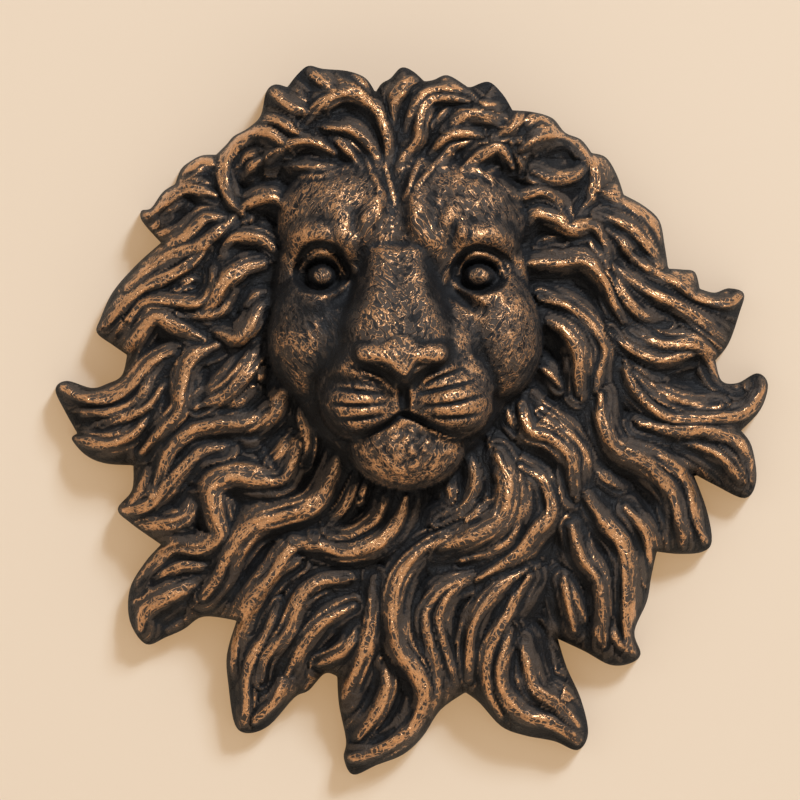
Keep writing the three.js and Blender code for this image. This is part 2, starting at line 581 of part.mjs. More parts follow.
// Triangle net over the drawing, with a Delaunay rule that never crosses the outline
class Net {
  constructor(half) {
    this.points = [[-half, -half], [half, -half], [half, half], [-half, half]];
    this.triangles = [];
    this.free = [];
    this.last = 0;
    this.rim = 0;
    this.add(0, 1, 2);
    this.add(0, 2, 3);
    this.join(0, 1);
  }

  add(a, b, c) {
    const triangle = { corners: [a, b, c], beside: [-1, -1, -1], live: true };
    const slot = this.free.length ? this.free.pop() : this.triangles.length;
    this.triangles[slot] = triangle;
    return slot;
  }

  join(s, t) {
    const one = this.triangles[s];
    const two = this.triangles[t];
    for (let i = 0; i < 3; i++) {
      const a = one.corners[i];
      const b = one.corners[(i + 1) % 3];
      for (let j = 0; j < 3; j++) {
        if (two.corners[j] === b && two.corners[(j + 1) % 3] === a) {
          one.beside[i] = t;
          two.beside[j] = s;
        }
      }
    }
  }

  turn(a, b, x, z) {
    const [ax, az] = this.points[a];
    const [bx, bz] = this.points[b];
    return (bx - ax) * (z - az) - (bz - az) * (x - ax);
  }

  find(x, z) {
    let slot = this.last;
    for (let hops = 0; hops < this.triangles.length; hops++) {
      const { corners, beside } = this.triangles[slot];
      const out = [0, 1, 2].find((i) => this.turn(corners[i], corners[(i + 1) % 3], x, z) < 0);
      if (out === undefined) return slot;
      slot = beside[out];
    }
    throw new Error('a point lies outside the net');
  }

  circled(slot, x, z) {
    const [a, b, c] = this.triangles[slot].corners.map((k) => [this.points[k][0] - x, this.points[k][1] - z]);
    const size = (p) => p[0] * p[0] + p[1] * p[1];
    const cross = (p, q) => p[0] * q[1] - p[1] * q[0];
    return size(a) * cross(b, c) + size(b) * cross(c, a) + size(c) * cross(a, b) > 1e-6;
  }

  // Two neighbouring outline points are joined for good once the outline is in the net
  fixed(a, b) {
    const one = a - 4;
    const two = b - 4;
    if (one < 0 || two < 0 || one >= this.rim || two >= this.rim) return false;
    const apart = Math.abs(one - two);
    return apart === 1 || apart === this.rim - 1;
  }

  insert(x, z) {
    const start = this.find(x, z);
    const corner = this.points.push([x, z]) - 1;
    const hole = new Set([start]);
    const border = [];
    for (const slot of hole) {
      const { corners, beside } = this.triangles[slot];
      for (let i = 0; i < 3; i++) {
        const other = beside[i];
        const a = corners[i];
        const b = corners[(i + 1) % 3];
        if (other >= 0 && hole.has(other)) continue;
        const open = other >= 0 && !this.fixed(a, b) && this.circled(other, x, z);
        if (open) hole.add(other);
        else border.push([a, b, other]);
      }
    }
    const edges = border.filter(([, , other]) => !hole.has(other));
    for (const slot of hole) this.triangles[slot].live = false;
    this.free.push(...hole);
    const made = edges.map(([a, b, other]) => {
      const slot = this.add(a, b, corner);
      if (other >= 0) this.join(slot, other);
      return slot;
    });
    made.forEach((s) => made.forEach((t) => s !== t && this.join(s, t)));
    this.last = made[0];
    return made;
  }
}

// Sample of a triangle where the flat facet lies furthest from the carving
function worstSample(net, field, slot, heights) {
  const { count, half, step, values } = field;
  const [a, b, c] = net.triangles[slot].corners;
  const [[ax, az], [bx, bz], [cx, cz]] = [a, b, c].map((k) => net.points[k]);
  const area = (bx - ax) * (cz - az) - (bz - az) * (cx - ax);
  const worst = { error: 0, col: 0, row: 0 };
  const lowRow = Math.ceil((Math.min(az, bz, cz) + half) / step);
  const highRow = Math.floor((Math.max(az, bz, cz) + half) / step);
  const lowCol = Math.ceil((Math.min(ax, bx, cx) + half) / step);
  const highCol = Math.floor((Math.max(ax, bx, cx) + half) / step);
  for (let row = lowRow; row <= highRow; row++) {
    for (let col = lowCol; col <= highCol; col++) {
      const height = values[row * count + col];
      if (height === 0) continue;
      const x = field.at(col);
      const z = field.at(row);
      const u = ((bx - x) * (cz - z) - (bz - z) * (cx - x)) / area;
      const v = ((cx - x) * (az - z) - (cz - z) * (ax - x)) / area;
      const w = 1 - u - v;
      if (u < 0 || v < 0 || w < 0 || Math.max(u, v, w) > 0.999) continue;
      const east = values[row * count + col + 1] - values[row * count + col - 1];
      const north = values[(row + 1) * count + col] - values[(row - 1) * count + col];
      const steep = Math.hypot(1, Math.hypot(east, north) / (2 * step));
      const error = Math.abs(height - u * heights[a] - v * heights[b] - w * heights[c]) / steep;
      if (error > worst.error) Object.assign(worst, { error, col, row });
    }
  }
  return worst;
}

// The outline goes into the net first, and an edge that the net misses is halved
function netOfOutline(outline, half) {
  let points = outline;
  for (let round = 0; round < 8; round++) {
    const net = new Net(half);
    points.forEach(([x, z]) => net.insert(x, z));
    const edges = new Set();
    net.triangles.filter((t) => t.live).forEach(({ corners }) => {
      corners.forEach((a, i) => edges.add(`${a} ${corners[(i + 1) % 3]}`));
    });
    const longer = [];
    points.forEach((point, i) => {
      const next = (i + 1) % points.length;
      longer.push(point);
      if (edges.has(`${i + 4} ${next + 4}`)) return;
      longer.push([(point[0] + points[next][0]) / 2, (point[1] + points[next][1]) / 2]);
    });
    if (longer.length === points.length) {
      net.rim = points.length;
      return { net, outline: points };
    }
    points = longer;
  }
  throw new Error('the outline does not settle in the net');
}

// Facets that follow the carving closely where it bends and widely where it is calm
function facetMask(field, rough) {
  const { net, outline } = netOfOutline(rough, field.half);
  const heights = net.points.map(([x, z]) => rimHeight(x, z));
  const worst = [];
  const scan = (slot) => {
    worst[slot] = worstSample(net, field, slot, heights);
  };
  net.triangles.forEach((triangle, slot) => triangle.live && scan(slot));
  while (net.points.length < FACET_POINTS) {
    let pick = -1;
    net.triangles.forEach((triangle, slot) => {
      if (triangle.live && (pick < 0 || worst[slot].error > worst[pick].error)) pick = slot;
    });
    const { error, col, row } = worst[pick];
    if (error === 0) break;
    heights.push(field.values[row * field.count + col]);
    net.insert(field.at(col), field.at(row)).forEach(scan);
  }
  const faces = net.triangles
    .filter((triangle) => triangle.live)
    .map((triangle) => triangle.corners)
    .filter((corners) => {
      const [[ax, az], [bx, bz], [cx, cz]] = corners.map((k) => net.points[k]);
      return insideOutline(outline, (ax + bx + cx) / 3, (az + bz + cz) / 3);
    });
  return { points: net.points, heights, faces, outline };
}

function solidFrom(positions, triangles) {
  const mesh = new wasm.Mesh({
    numProp: 3,
    vertProperties: new Float32Array(positions),
    triVerts: new Uint32Array(triangles),
  });
  return new wasm.Manifold(mesh);
}

function solidFromGeometry(geometry) {
  geometry.deleteAttribute('normal');
  geometry.deleteAttribute('uv');
  const merged = mergeVertices(geometry);
  return solidFrom(merged.attributes.position.array, merged.index.array);
}

// Closed block of the mask: the carved front, the drawn-in sides and the flat back
function maskBlock() {
  const rough = maneOutline();
  const field = carveMask(rough);
  const { points, heights, faces, outline } = facetMask(field, rough);
  const positions = [];
  const triangles = [];
  points.forEach(([x, z], k) => {
    const drawn = 1 - heights[k] / DRAW_FAR;
    positions.push(DRAW_X + (x * SCALE - DRAW_X) * drawn, -heights[k], DRAW_Z + (z * SCALE - DRAW_Z) * drawn);
  });
  faces.forEach((corners) => triangles.push(...corners));
  const back = points.length;
  outline.forEach(([x, z]) => positions.push(x * SCALE, 0, z * SCALE));
  outline.forEach((point, i) => {
    const next = (i + 1) % outline.length;
    triangles.push(next + 4, i + 4, back + i);
    triangles.push(next + 4, back + i, back + next);
  });
  const flat = outline.map(([x, z]) => new THREE.Vector2(x, z));
  THREE.ShapeUtils.triangulateShape(flat, []).forEach(([a, b, c]) => {
    triangles.push(back + a, back + c, back + b);
  });
  return solidFrom(positions, triangles);
}

// Solid of a shape drawn on the wall, from one distance off the wall to another
function cutter(shape, from, to) {
  const options = { depth: to - from, bevelEnabled: false, curveSegments: 8 };
  const geometry = new THREE.ExtrudeGeometry(shape, options);
  geometry.rotateX(Math.PI / 2);
  geometry.translate(0, -from, 0);
  return solidFromGeometry(geometry);
}

// Planting pocket, open upwards behind the crown, with round lower corners
function pocketShape() {
  const floor = CROWN_ARCH - POCKET_HEIGHT;
  const left = POCKET_X - POCKET_WIDTH / 2;
  const right = POCKET_X + POCKET_WIDTH / 2;
  const shape = new THREE.Shape();
  shape.moveTo(left, CROWN_CLEAR);
  shape.lineTo(left, floor + POCKET_CORNER);
  const down = 1.5 * Math.PI;
  shape.absarc(left + POCKET_CORNER, floor + POCKET_CORNER, POCKET_CORNER, Math.PI, down, false);
  shape.absarc(right - POCKET_CORNER, floor + POCKET_CORNER, POCKET_CORNER, down, 2 * Math.PI, false);
  shape.lineTo(right, CROWN_CLEAR);
  return shape;
}

// The back of the pocket ends in a low arch behind the crown's locks
function archShape() {
  const left = POCKET_X - POCKET_WIDTH / 2;
  const right = POCKET_X + POCKET_WIDTH / 2;
  const spring = CROWN_ARCH - ARCH_RISE;
  const shape = new THREE.Shape();
  shape.moveTo(left, CROWN_CLEAR);
  shape.lineTo(left, spring);
  shape.quadraticCurveTo(POCKET_X, 2 * CROWN_ARCH - spring, right, spring);
  shape.lineTo(right, CROWN_CLEAR);
  return shape;
}

function slotShape(x, width) {
  const shape = new THREE.Shape();
  shape.absarc(x, KEYHOLE_HEIGHT, width / 2, Math.PI, 2 * Math.PI, false);
  shape.absarc(x, KEYHOLE_HEIGHT + KEYHOLE_RISE, width / 2, 0, Math.PI, false);
  return shape;
}

// Keyhole for a screw head: a round way in, a narrow slot above it and a wide space behind
function keyhole(x) {
  const round = new THREE.Shape();
  round.absarc(x, KEYHOLE_HEIGHT, KEYHOLE_HEAD / 2, 0, 2 * Math.PI, false);
  const overlap = 0.5;
  return cutter(round, -1, KEYHOLE_LIP + overlap)
    .add(cutter(slotShape(x, KEYHOLE_SLOT), -1, KEYHOLE_LIP + overlap))
    .add(cutter(slotShape(x, KEYHOLE_HEAD), KEYHOLE_LIP, KEYHOLE_DEPTH));
}

function planterSolid() {
  const pocket = cutter(pocketShape(), BACK_WALL, BACK_WALL + POCKET_DEPTH);
  const arch = cutter(archShape(), -1, BACK_WALL + POCKET_DEPTH);
  let solid = maskBlock().subtract(pocket).subtract(arch);
  for (const side of [-1, 1]) {
    solid = solid.subtract(keyhole(POCKET_X + side * (POCKET_WIDTH / 2 + KEYHOLE_OFFSET)));
  }
  return solid;
}

function geometryOf(solid) {
  const { vertProperties, triVerts } = solid.getMesh();
  const geometry = new THREE.BufferGeometry();
  geometry.setAttribute('position', new THREE.BufferAttribute(vertProperties, 3));
  geometry.setIndex(new THREE.BufferAttribute(triVerts, 1));
  const faceted = geometry.toNonIndexed();
  faceted.computeVertexNormals();
  return faceted;
}

const bronzed = new THREE.MeshStandardMaterial({ color: 0x6b4a30, roughness: 0.5, metalness: 0.6 });
const mask = new THREE.Mesh(geometryOf(planterSolid()), bronzed);
mask.name = 'lion_mask';

const planter = new THREE.Group();
planter.name = 'lion_head_wall_planter';
planter.add(mask);

export default planter;
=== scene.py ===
"""Lion head wall planter: the carved front, with copper rubbed on its blue-black patina."""
import math

import bmesh
import bpy
import numpy as np
from bpy.props import FloatProperty, FloatVectorProperty, IntProperty, PointerProperty
from mathutils import Matrix, Vector


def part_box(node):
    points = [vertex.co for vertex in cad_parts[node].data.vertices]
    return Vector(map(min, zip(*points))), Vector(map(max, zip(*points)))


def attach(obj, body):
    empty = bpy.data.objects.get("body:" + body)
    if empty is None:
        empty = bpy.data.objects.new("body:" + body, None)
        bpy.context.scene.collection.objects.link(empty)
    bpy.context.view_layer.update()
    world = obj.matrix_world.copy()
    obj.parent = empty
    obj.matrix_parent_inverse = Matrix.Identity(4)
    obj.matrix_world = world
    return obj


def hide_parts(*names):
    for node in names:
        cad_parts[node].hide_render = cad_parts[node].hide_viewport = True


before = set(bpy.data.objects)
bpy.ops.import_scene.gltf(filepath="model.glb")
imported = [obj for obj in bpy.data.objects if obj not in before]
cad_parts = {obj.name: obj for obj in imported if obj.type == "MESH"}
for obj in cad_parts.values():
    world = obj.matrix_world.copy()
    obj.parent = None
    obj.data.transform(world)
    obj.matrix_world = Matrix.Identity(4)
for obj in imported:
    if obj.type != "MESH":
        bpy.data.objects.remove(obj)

bl_info = {
    "name": "Lion head wall planter",
    "version": (1, 0, 0),
    "blender": (4, 5, 0),
    "location": "View3D > Sidebar > Planter",
    "description": "Carves the lion mask with its mane and gives it a rubbed bronze finish",
    "category": "Add Mesh",
}

CAD_NODE = "lion_mask"
CAD_LOW, CAD_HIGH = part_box(CAD_NODE)
MM = 0.001

# The carving is drawn in millimetres on the wall: x to the right, z up, heights off the wall
NOSE_REACH = -CAD_LOW.y / MM
RIM_THICKNESS = 15.0
RIM_ROUND = 8.0
MIDLINE = -6.0
LOWEST = -60.0
SHEET_HALF = 206.0
DRAW_X = -6.7
DRAW_Z = 11.2
DRAW_FAR = 1900.0

# Pocket and keyholes behind the head, as the solid has them
BACK_WALL = 7.0
POCKET_WIDTH = 130.0
POCKET_DEPTH = 38.0
POCKET_FLOOR = 62.0
POCKET_CORNER = 26.0
CROWN_EDGE = 54.0
CROWN_ARCH = 170.0
ARCH_RISE = 14.0
CROWN_CLEAR = 240.0
CROWN_FROM = 100.0
CROWN_FULL = 158.0
CROWN_MARGIN = 5.0
CROWN_FADE = 34.0
KEYHOLE_OFFSET = 27.0
KEYHOLE_HEIGHT = 92.0
KEYHOLE_HEAD = 13.0
KEYHOLE_SLOT = 5.5
KEYHOLE_RISE = 14.0
KEYHOLE_LIP = 3.5
KEYHOLE_DEPTH = 11.0

# Outline of the mane, anticlockwise from the parting: each tip starts at its notch
MANE_TIPS = [
    [(-20.5, 184), (-26, 192), (-36, 196), (-50, 197.3), (-58, 199), (-64, 194.5)],
    [(-70, 187), (-77, 188.5), (-82, 184), (-85, 171), (-92, 164), (-100, 159.5), (-104, 155)],
    [(-110, 149), (-118, 148.6), (-125, 145), (-130, 140.5)],
    [(-133, 132.5), (-140, 128), (-146.5, 119), (-152, 117.5), (-151.5, 111.5)],
    [(-141, 99.5), (-155, 87), (-168, 72), (-175, 57), (-177, 49), (-168, 42)],
    [(-160, 36.5), (-163, 25), (-171, 20.5), (-180, 18), (-194, 22), (-200.3, 17), (-195, 5)],
    [(-188, -7.5), (-191, -11), (-183, -20), (-172, -24.5)],
    [(-156.5, -25.5), (-157.3, -39.5), (-165.3, -50), (-158, -58)],
    [(-141, -70), (-150, -80), (-158.5, -95), (-158.5, -113), (-149.5, -126), (-138, -122),
     (-128, -117.5), (-117, -110.5)],
    [(-98.5, -112.7), (-104, -132), (-103, -150), (-99.5, -171), (-92, -176), (-80, -171.5),
     (-66, -156), (-58, -152), (-49, -142.5)],
    [(-42, -144), (-41, -160), (-37, -180), (-38.3, -190), (-33, -199.3), (-20, -194), (-5, -188),
     (6, -178), (16, -163)],
    [(30, -153), (38, -159), (50, -172), (63, -177.2), (80, -180.5), (93, -185.5), (99, -176),
     (95, -157), (87, -139)],
    [(82, -123), (97, -130), (111, -137.5), (122, -137), (128.5, -131.5), (125, -119), (132, -102),
     (134.5, -88)],
    [(137.5, -74), (150, -75.3), (163, -74.2), (168.5, -68), (165.5, -50)],
    [(158, -30), (170, -36.5), (187, -44), (193.5, -34), (191, -15)],
    [(185, -6), (196, 6), (200, 20), (194, 26.3), (183, 20.8), (174, 22)],
    [(170.5, 33.5), (178, 43), (184, 60), (186.5, 71), (178, 74), (170, 71.5)],
    [(161.7, 73.7), (159, 83), (152, 84.5)],
    [(144, 85), (142, 98), (139, 112), (130, 120.5)],
    [(119, 126.5), (115, 138), (109, 147.5)],
    [(101, 150), (95, 157.5), (86, 161.5), (79, 169.5), (68, 173)],
    [(56.5, 174), (51, 183), (43, 190), (33, 187)],
    [(30, 188), (20, 193.7), (12, 191)],
    [(7, 190.2), (0.5, 196), (-6, 198), (-12, 192), (-17, 189)],
]

# Locks of the mane, root to tip: half width, rise, path
LEFT_LOCKS = [
    (5.5, 8, [(-62, 166), (-50, 178), (-36, 184), (-22, 177), (-14, 160), (-13, 143)]),
    (4.5, 6, [(-49, 164), (-34, 162), (-23, 152), (-17, 140)]),
    (3.5, 5, [(-44, 160), (-36, 151), (-29, 142)]),
    (5, 7, [(-80, 186), (-70, 178), (-60, 173.5), (-52, 172)]),
    (4.5, 6, [(-57, 196), (-50, 190), (-41, 183)]),
    (4, 6, [(-36, 195), (-29, 192), (-22, 183)]),
    (5, 8, [(-70, 152), (-80, 160), (-92, 161.5), (-103, 153), (-107, 138), (-103, 124), (-96, 116)]),
    (4, 6, [(-80, 147), (-66, 155.5), (-54, 156), (-44, 150)]),
    (3.5, 5, [(-66, 142), (-52, 142), (-40, 141)]),
    (4, 6, [(-84, 170), (-75, 168), (-66, 162), (-58, 160)]),
    (4, 7, [(-98, 117), (-87, 123), (-78, 124), (-69, 118)]),
    (4, 7, [(-107, 95), (-101, 102), (-90, 103), (-82, 100), (-76, 94)]),
    (5, 7, [(-108, 142), (-118, 146), (-128, 139)]),
    (4.5, 7, [(-110, 126), (-126, 130), (-138, 123), (-149, 115)]),
    (5, 7, [(-104, 112), (-116, 113), (-126, 104), (-140, 97.5), (-150, 92)]),
    (5.5, 8, [(-100, 114), (-110, 105), (-120, 97.5), (-135, 92), (-150, 83), (-160, 75)]),
    (5, 7, [(-113, 103), (-122, 90), (-134, 82), (-150, 74), (-162, 64), (-172, 54)]),
    (6, 9, [(-84, 87), (-96, 84), (-106, 76), (-112, 66), (-118, 60)]),
    (4.5, 7, [(-159, 57), (-150, 66), (-135, 66), (-120, 65.5), (-113, 74), (-112, 85)]),
    (4, 6, [(-130, 61), (-118, 58.5), (-107, 62), (-102, 73)]),
    (5.5, 8, [(-162, 33), (-156, 44), (-145, 57.5), (-133, 52), (-118, 44)]),
    (6, 9, [(-109, 48), (-99, 45.5), (-91, 52), (-86, 61), (-80, 66)]),
    (5, 7, [(-196, 18), (-184, 12), (-170, 12), (-158, 20), (-147, 32), (-134, 39)]),
    (4.5, 6, [(-184, 4), (-168, 4.5), (-155, 10), (-146, 25), (-138, 35)]),
    (4, 6, [(-174, -3), (-160, 2), (-148, 8), (-140, 20)]),
    (5.5, 7, [(-186, -12), (-170, -13.5), (-156, -8), (-147, 4)]),
    (6.5, 9, [(-110, 42.5), (-124, 34), (-129, 18), (-131, 5), (-142, -7), (-151, -18)]),
    (8, 8, [(-86, 40), (-94, 27), (-105, 15), (-121, 7)]),
    (4, 5, [(-91, 16), (-98, 9.5), (-107, 6)]),
    (5.5, 8, [(-80, 6), (-92, -2), (-108, -3), (-124, -6), (-137, -17), (-141, -30), (-145, -45)]),
    (5.5, 7, [(-107, -16), (-120, -19), (-131, -29), (-139, -38), (-148, -48), (-160, -52)]),
    (5, 6, [(-122, -45), (-128, -56), (-140, -59.5), (-152, -60)]),
    (7.5, 10, [(-64, -14), (-72, -33), (-86, -34), (-101, -32.5), (-112, -39), (-111, -53),
               (-109, -66), (-120, -73), (-134, -71.5), (-146, -80), (-155, -90)]),
    (5, 7, [(-61, 12), (-62, 2), (-59, -10), (-61, -24)]),
    (5, 7, [(-70, 26), (-73, 14), (-80, 2), (-91, -6)]),
    (8, 10, [(-40, -16), (-46, -32), (-56, -48), (-74, -54), (-90, -60), (-101, -73), (-109, -89),
             (-117, -99)]),
    (6, 8, [(-120, -92), (-136, -99), (-150, -108), (-153, -117)]),
    (4.5, 6, [(-114, -83), (-130, -83), (-146, -91)]),
    (6, 8, [(-54, -70), (-68, -72), (-78, -87), (-91, -103), (-99, -122), (-101, -141)]),
    (4.5, 6, [(-64, -80), (-76, -89), (-86, -104), (-92, -118)]),
]
BEARD_LOCKS = [
    (6.5, 9, [(-66, -70), (-50, -71.5), (-36, -74.5), (-19, -69), (-8, -57), (-3, -43)]),
    (4.5, 6, [(-46, -65), (-33, -65), (-20, -56), (-15, -42)]),
    (3.5, 4, [(-31, -34), (-37, -47), (-46, -57)]),
    (6, 8, [(-37, -90), (-52, -91.5), (-63, -101), (-71, -120), (-82, -133), (-85, -146)]),
    (4.5, 6, [(-75, -104), (-82, -120), (-92, -138), (-93, -160), (-95, -170)]),
    (4.5, 6, [(-70, -142), (-76, -157), (-88, -168)]),
    (6, 7, [(-33, -105), (-50, -114), (-62, -128), (-70, -142)]),
    (4.5, 6, [(-30, -118), (-38, -130), (-52, -137)]),
    (6, 7, [(-20, -90), (-23, -118), (-31, -140), (-38, -155)]),
    (7, 10, [(30, -62), (8, -72), (-6, -86), (-11, -105), (-8, -128), (3, -144), (6, -158),
             (-2, -175), (-18, -186), (-34, -190)]),
    (4.5, 6, [(-16, -136), (-14, -150), (-20, -165), (-30, -178)]),
    (5, 7, [(36, -89), (20, -94), (8, -108), (10, -128), (15, -150), (10, -166)]),
    (4.5, 6, [(38, -90), (24, -95), (15, -111), (19, -130), (24, -148)]),
    (11, 11, [(48, -20), (54, -36), (50, -55), (34, -66), (16, -72)]),
    (5, 6, [(60, -30), (62, -50), (52, -70), (28, -79)]),
    (4.5, 5, [(31, -17), (35, -33), (29, -48), (15, -56)]),
    (5.5, 8, [(61, -26), (74, -36), (78, -52), (69, -63), (60, -75), (48, -83), (36, -90)]),
    (6, 7, [(64, -85), (46, -98), (34, -117), (32, -145)]),
    (5.5, 7, [(66, -88), (54, -109), (43, -130), (42, -150), (50, -166)]),
    (6.5, 8, [(55, -118), (49, -146), (60, -164), (78, -171), (93, -180)]),
    (5, 7, [(62, -124), (68, -150), (82, -160), (93, -172)]),
    (6, 7, [(90, -60), (95, -77), (105, -91), (107, -108), (107, -126)]),
]
RIGHT_LOCKS = [
    (6, 8, [(97, -42), (107, -57), (118, -70), (120, -92), (121, -115), (124, -130)]),
    (5, 6, [(120, -50), (131, -64), (135, -86)]),
    (4, 5, [(85, -90), (88, -104), (91, -118)]),
    (7, 9, [(106, 14), (107, -2), (114, -16), (132, -25), (146, -40), (151, -60), (152, -70)]),
    (5, 7, [(120, -17), (140, -23), (155, -35), (159, -55), (165, -68)]),
    (6, 8, [(128, -2), (145, -6), (165, -6.5), (181, -10), (190, -22), (191, -34)]),
    (5, 6, [(152, -11), (172, -20), (185, -34)]),
    (5.5, 8, [(120, 29), (126, 15), (142, 2), (160, 0), (185, 2), (197, 14), (198, 24)]),
    (4.5, 6, [(124, 27), (136, 16), (155, 9), (172, 9)]),
    (4.5, 7, [(112, 51), (123, 40), (140, 34), (156, 37), (166, 39)]),
    (6, 8, [(123, 50), (140, 43), (158, 43), (168, 36), (174, 25), (182, 20)]),
    (5, 7, [(111, 84), (118, 71), (130, 59), (142, 56)]),
    (6, 8, [(113, 87), (130, 74), (150, 64), (166, 53), (178, 43)]),
    (5, 8, [(119, 96), (129, 87), (145, 79), (162, 68), (178, 66), (185, 71)]),
    (4.5, 6, [(110, 107), (120, 97), (125, 87)]),
    (5, 7, [(104, 116), (123, 108), (134, 96), (139, 88)]),
    (5, 7, [(103, 127), (120, 124), (135, 112), (142, 95)]),
    (5.5, 9, [(62, 152), (72, 158.5), (87, 160.5), (98, 152), (103, 137), (101, 125), (95, 118)]),
    (4.5, 7, [(69, 138), (80, 134.5), (92, 137), (99, 145)]),
    (6, 9, [(60, 105), (69, 115), (80, 113), (90, 107.5), (102, 108), (109, 97), (111, 87)]),
    (4, 6, [(50, 131), (61, 125), (74, 128), (84, 121), (89, 110)]),
    (6, 9, [(66, 88), (82, 88.5), (96, 89), (107, 80), (114, 66), (119, 56)]),
    (5, 7, [(72, 69), (88, 63), (101, 53), (108, 40), (105, 24), (104, 12)]),
    (7, 9, [(73, 57), (86, 51), (93, 38), (93, 24), (94, 15)]),
    (8, 9, [(62, 8), (66, -6), (78, -11), (89, -22), (91, -41)]),
    (4.5, 6, [(72, 5), (86, -5), (97, -20), (97, -38)]),
    (3.5, 4, [(53, 8), (55, 1), (59, -6)]),
]
CROWN_LOCKS = [
    (5, 7, [(5, 193), (-6, 186), (-11, 177), (-10, 166)]),
    (4.5, 8, [(32, 179), (14, 181), (6, 174), (3, 158), (-5, 147), (-9, 134)]),
    (4.5, 7, [(36, 179), (26, 186), (8, 184), (0, 172), (-5, 158)]),
    (4.5, 6, [(20, 163), (31, 171), (42, 170), (52, 166)]),
    (4, 6, [(11, 150), (22, 160), (38, 160)]),
    (4, 6, [(4, 141), (14, 143), (22, 153), (34, 157)]),
    (4.5, 7, [(30, 141), (39, 149), (49, 153), (56, 142)]),
    (4.5, 6, [(62, 175), (57, 165), (47, 159)]),
    (4, 6, [(61, 164), (72, 171), (84, 166)]),
]

# Thin strands between the locks, too fine for the solid
FINE_STRANDS = [
    (2.6, 4, [(-98, 144), (-94, 148), (-87, 150)]),
    (2.6, 4, [(-93, 138), (-90, 143), (-85, 146)]),
    (3, 4, [(-122, 133.5), (-130, 132.5), (-138, 126), (-142, 121)]),
    (2.6, 3.5, [(-128, 122), (-134, 120), (-139, 116)]),
    (3, 4, [(-154, 64), (-160, 55), (-165, 47)]),
    (2.6, 4, [(-104, 70), (-106, 66), (-112, 62)]),
    (2.6, 4, [(-132, 75), (-128, 78), (-122, 80)]),
    (2.2, 3, [(-120, 54), (-110, 54)]),
    (2.4, 3, [(-92, 65), (-88, 69), (-83, 70)]),
    (2.8, 3.5, [(-163, -9), (-157, -4), (-150, 1)]),
    (3, 3.5, [(-84, 38), (-86, 26)]),
    (2.8, 4, [(-148, -28), (-151, -36), (-157, -45), (-160, -50)]),
    (4, 4, [(-63, -8), (-70, -16), (-78, -25)]),
    (4, 4, [(-75, 42), (-69, 32), (-62, 22), (-53, 12), (-51, 7)]),
    (2.2, 3, [(-26, -34), (-30, -44)]),
    (2.8, 3.5, [(-46, -95), (-55, -99), (-62, -105)]),
    (2.8, 4, [(8, -135), (13, -147), (14, -155), (11, -165)]),
    (3, 4.5, [(42, -10), (46, -20), (49, -30), (47, -42), (40, -50), (30, -58), (18, -67), (8, -73)]),
    (2.4, 3, [(22, -28), (21, -38), (22, -46)]),
    (3, 4, [(60, -130), (63, -145), (68, -155), (76, -158), (85, -158)]),
    (2.8, 4, [(57, -78), (48, -84), (42, -91)]),
    (3, 4, [(106, -112), (105, -120), (108, -128)]),
    (3, 4, [(112, -112), (114, -122), (119, -128), (126, -131)]),
    (2.4, 3, [(88, -90), (93, -103), (96, -112)]),
    (2.4, 3, [(102, -26), (108, -33), (116, -38)]),
    (3, 4, [(175, -15), (182, -24), (187, -33), (189, -38)]),
    (2.2, 3, [(122, 32), (130, 26), (138, 23)]),
    (2.4, 3, [(72, 99), (79, 101), (85, 100)]),
    (2.8, 3.5, [(71, 30), (78, 25), (83, 19)]),
    (2.8, 3.5, [(66, 12), (74, 5), (80, 1)]),
    (3, 3.5, [(45, 22), (55, 25), (63, 28)]),
    (3, 3.5, [(50, 10), (57, 16), (62, 23)]),
    (3, 4, [(36, 180), (42, 177), (48, 177)]),
    (2.6, 4, [(13, 165), (17, 171), (22, 175)]),
    (2.6, 3.5, [(25, 151), (28, 155), (34, 158), (42, 157)]),
    (2.6, 4, [(57, 157), (62, 156), (67, 152)]),
    (2.6, 3.5, [(60, 150), (62, 140)]),
    (2.4, 3.5, [(40, 130), (45, 133), (43, 138), (48, 141)]),
    (2.4, 3, [(33, 131), (42, 131)]),
]

# Rounded masses of the face: centre x, z, half width, half height, turn, low, high, fullness
FACE_MASSES = [
    (-6, 62, 73, 92, 0, 46, 80, 0.34),
    (-6, 110, 66, 39, 0, 44, 85, 0.7),
    (-41, 112, 35, 34, 12, 50, 80, 0.6),
    (29, 112, 35, 34, -12, 50, 80, 0.6),
    (-6, 16, 55, 52, 0, 44, 86, 0.5),
    (-54, 50, 27, 38, -12, 58, 89, 0.6),
    (46, 50, 27, 38, 12, 58, 89, 0.6),
    (-32, 38, 24, 38, -9, 64, 99, 0.8),
    (20, 38, 24, 38, 9, 64, 99, 0.8),
]
CHIN = (-3, -15, 33, 24.5, 0, 74, 102, 0.6)
MUZZLE_MASSES = [
    (-4, 18, 50, 32, 0, 78, 106, 0.4),
    (-28, 10, 24, 21.5, 14, 84, 113, 0.65),
    (21, 10, 24.5, 21, -10, 84, 113, 0.65),
    CHIN,
]
FACE_FILLET = 13.0
MUZZLE_FILLET = 6.0
MANE_FILLET = 1.5
BROW_FILLET = 12.0
BROW_FROM = 50.0
BROW_TO = 85.0
EYE_SOCKETS = [(-50.5, 82.5, 17, 12, 6), (38, 82.5, 17, 12, -6)]
SOCKET_DEPTH = 14.0
EYEBALLS = [(-50.3, 81, 7.8, 6.9), (37.8, 81, 8.6, 6.9)]
EYEBALL_EDGE = 69.0
EYEBALL_RISE = 10.0

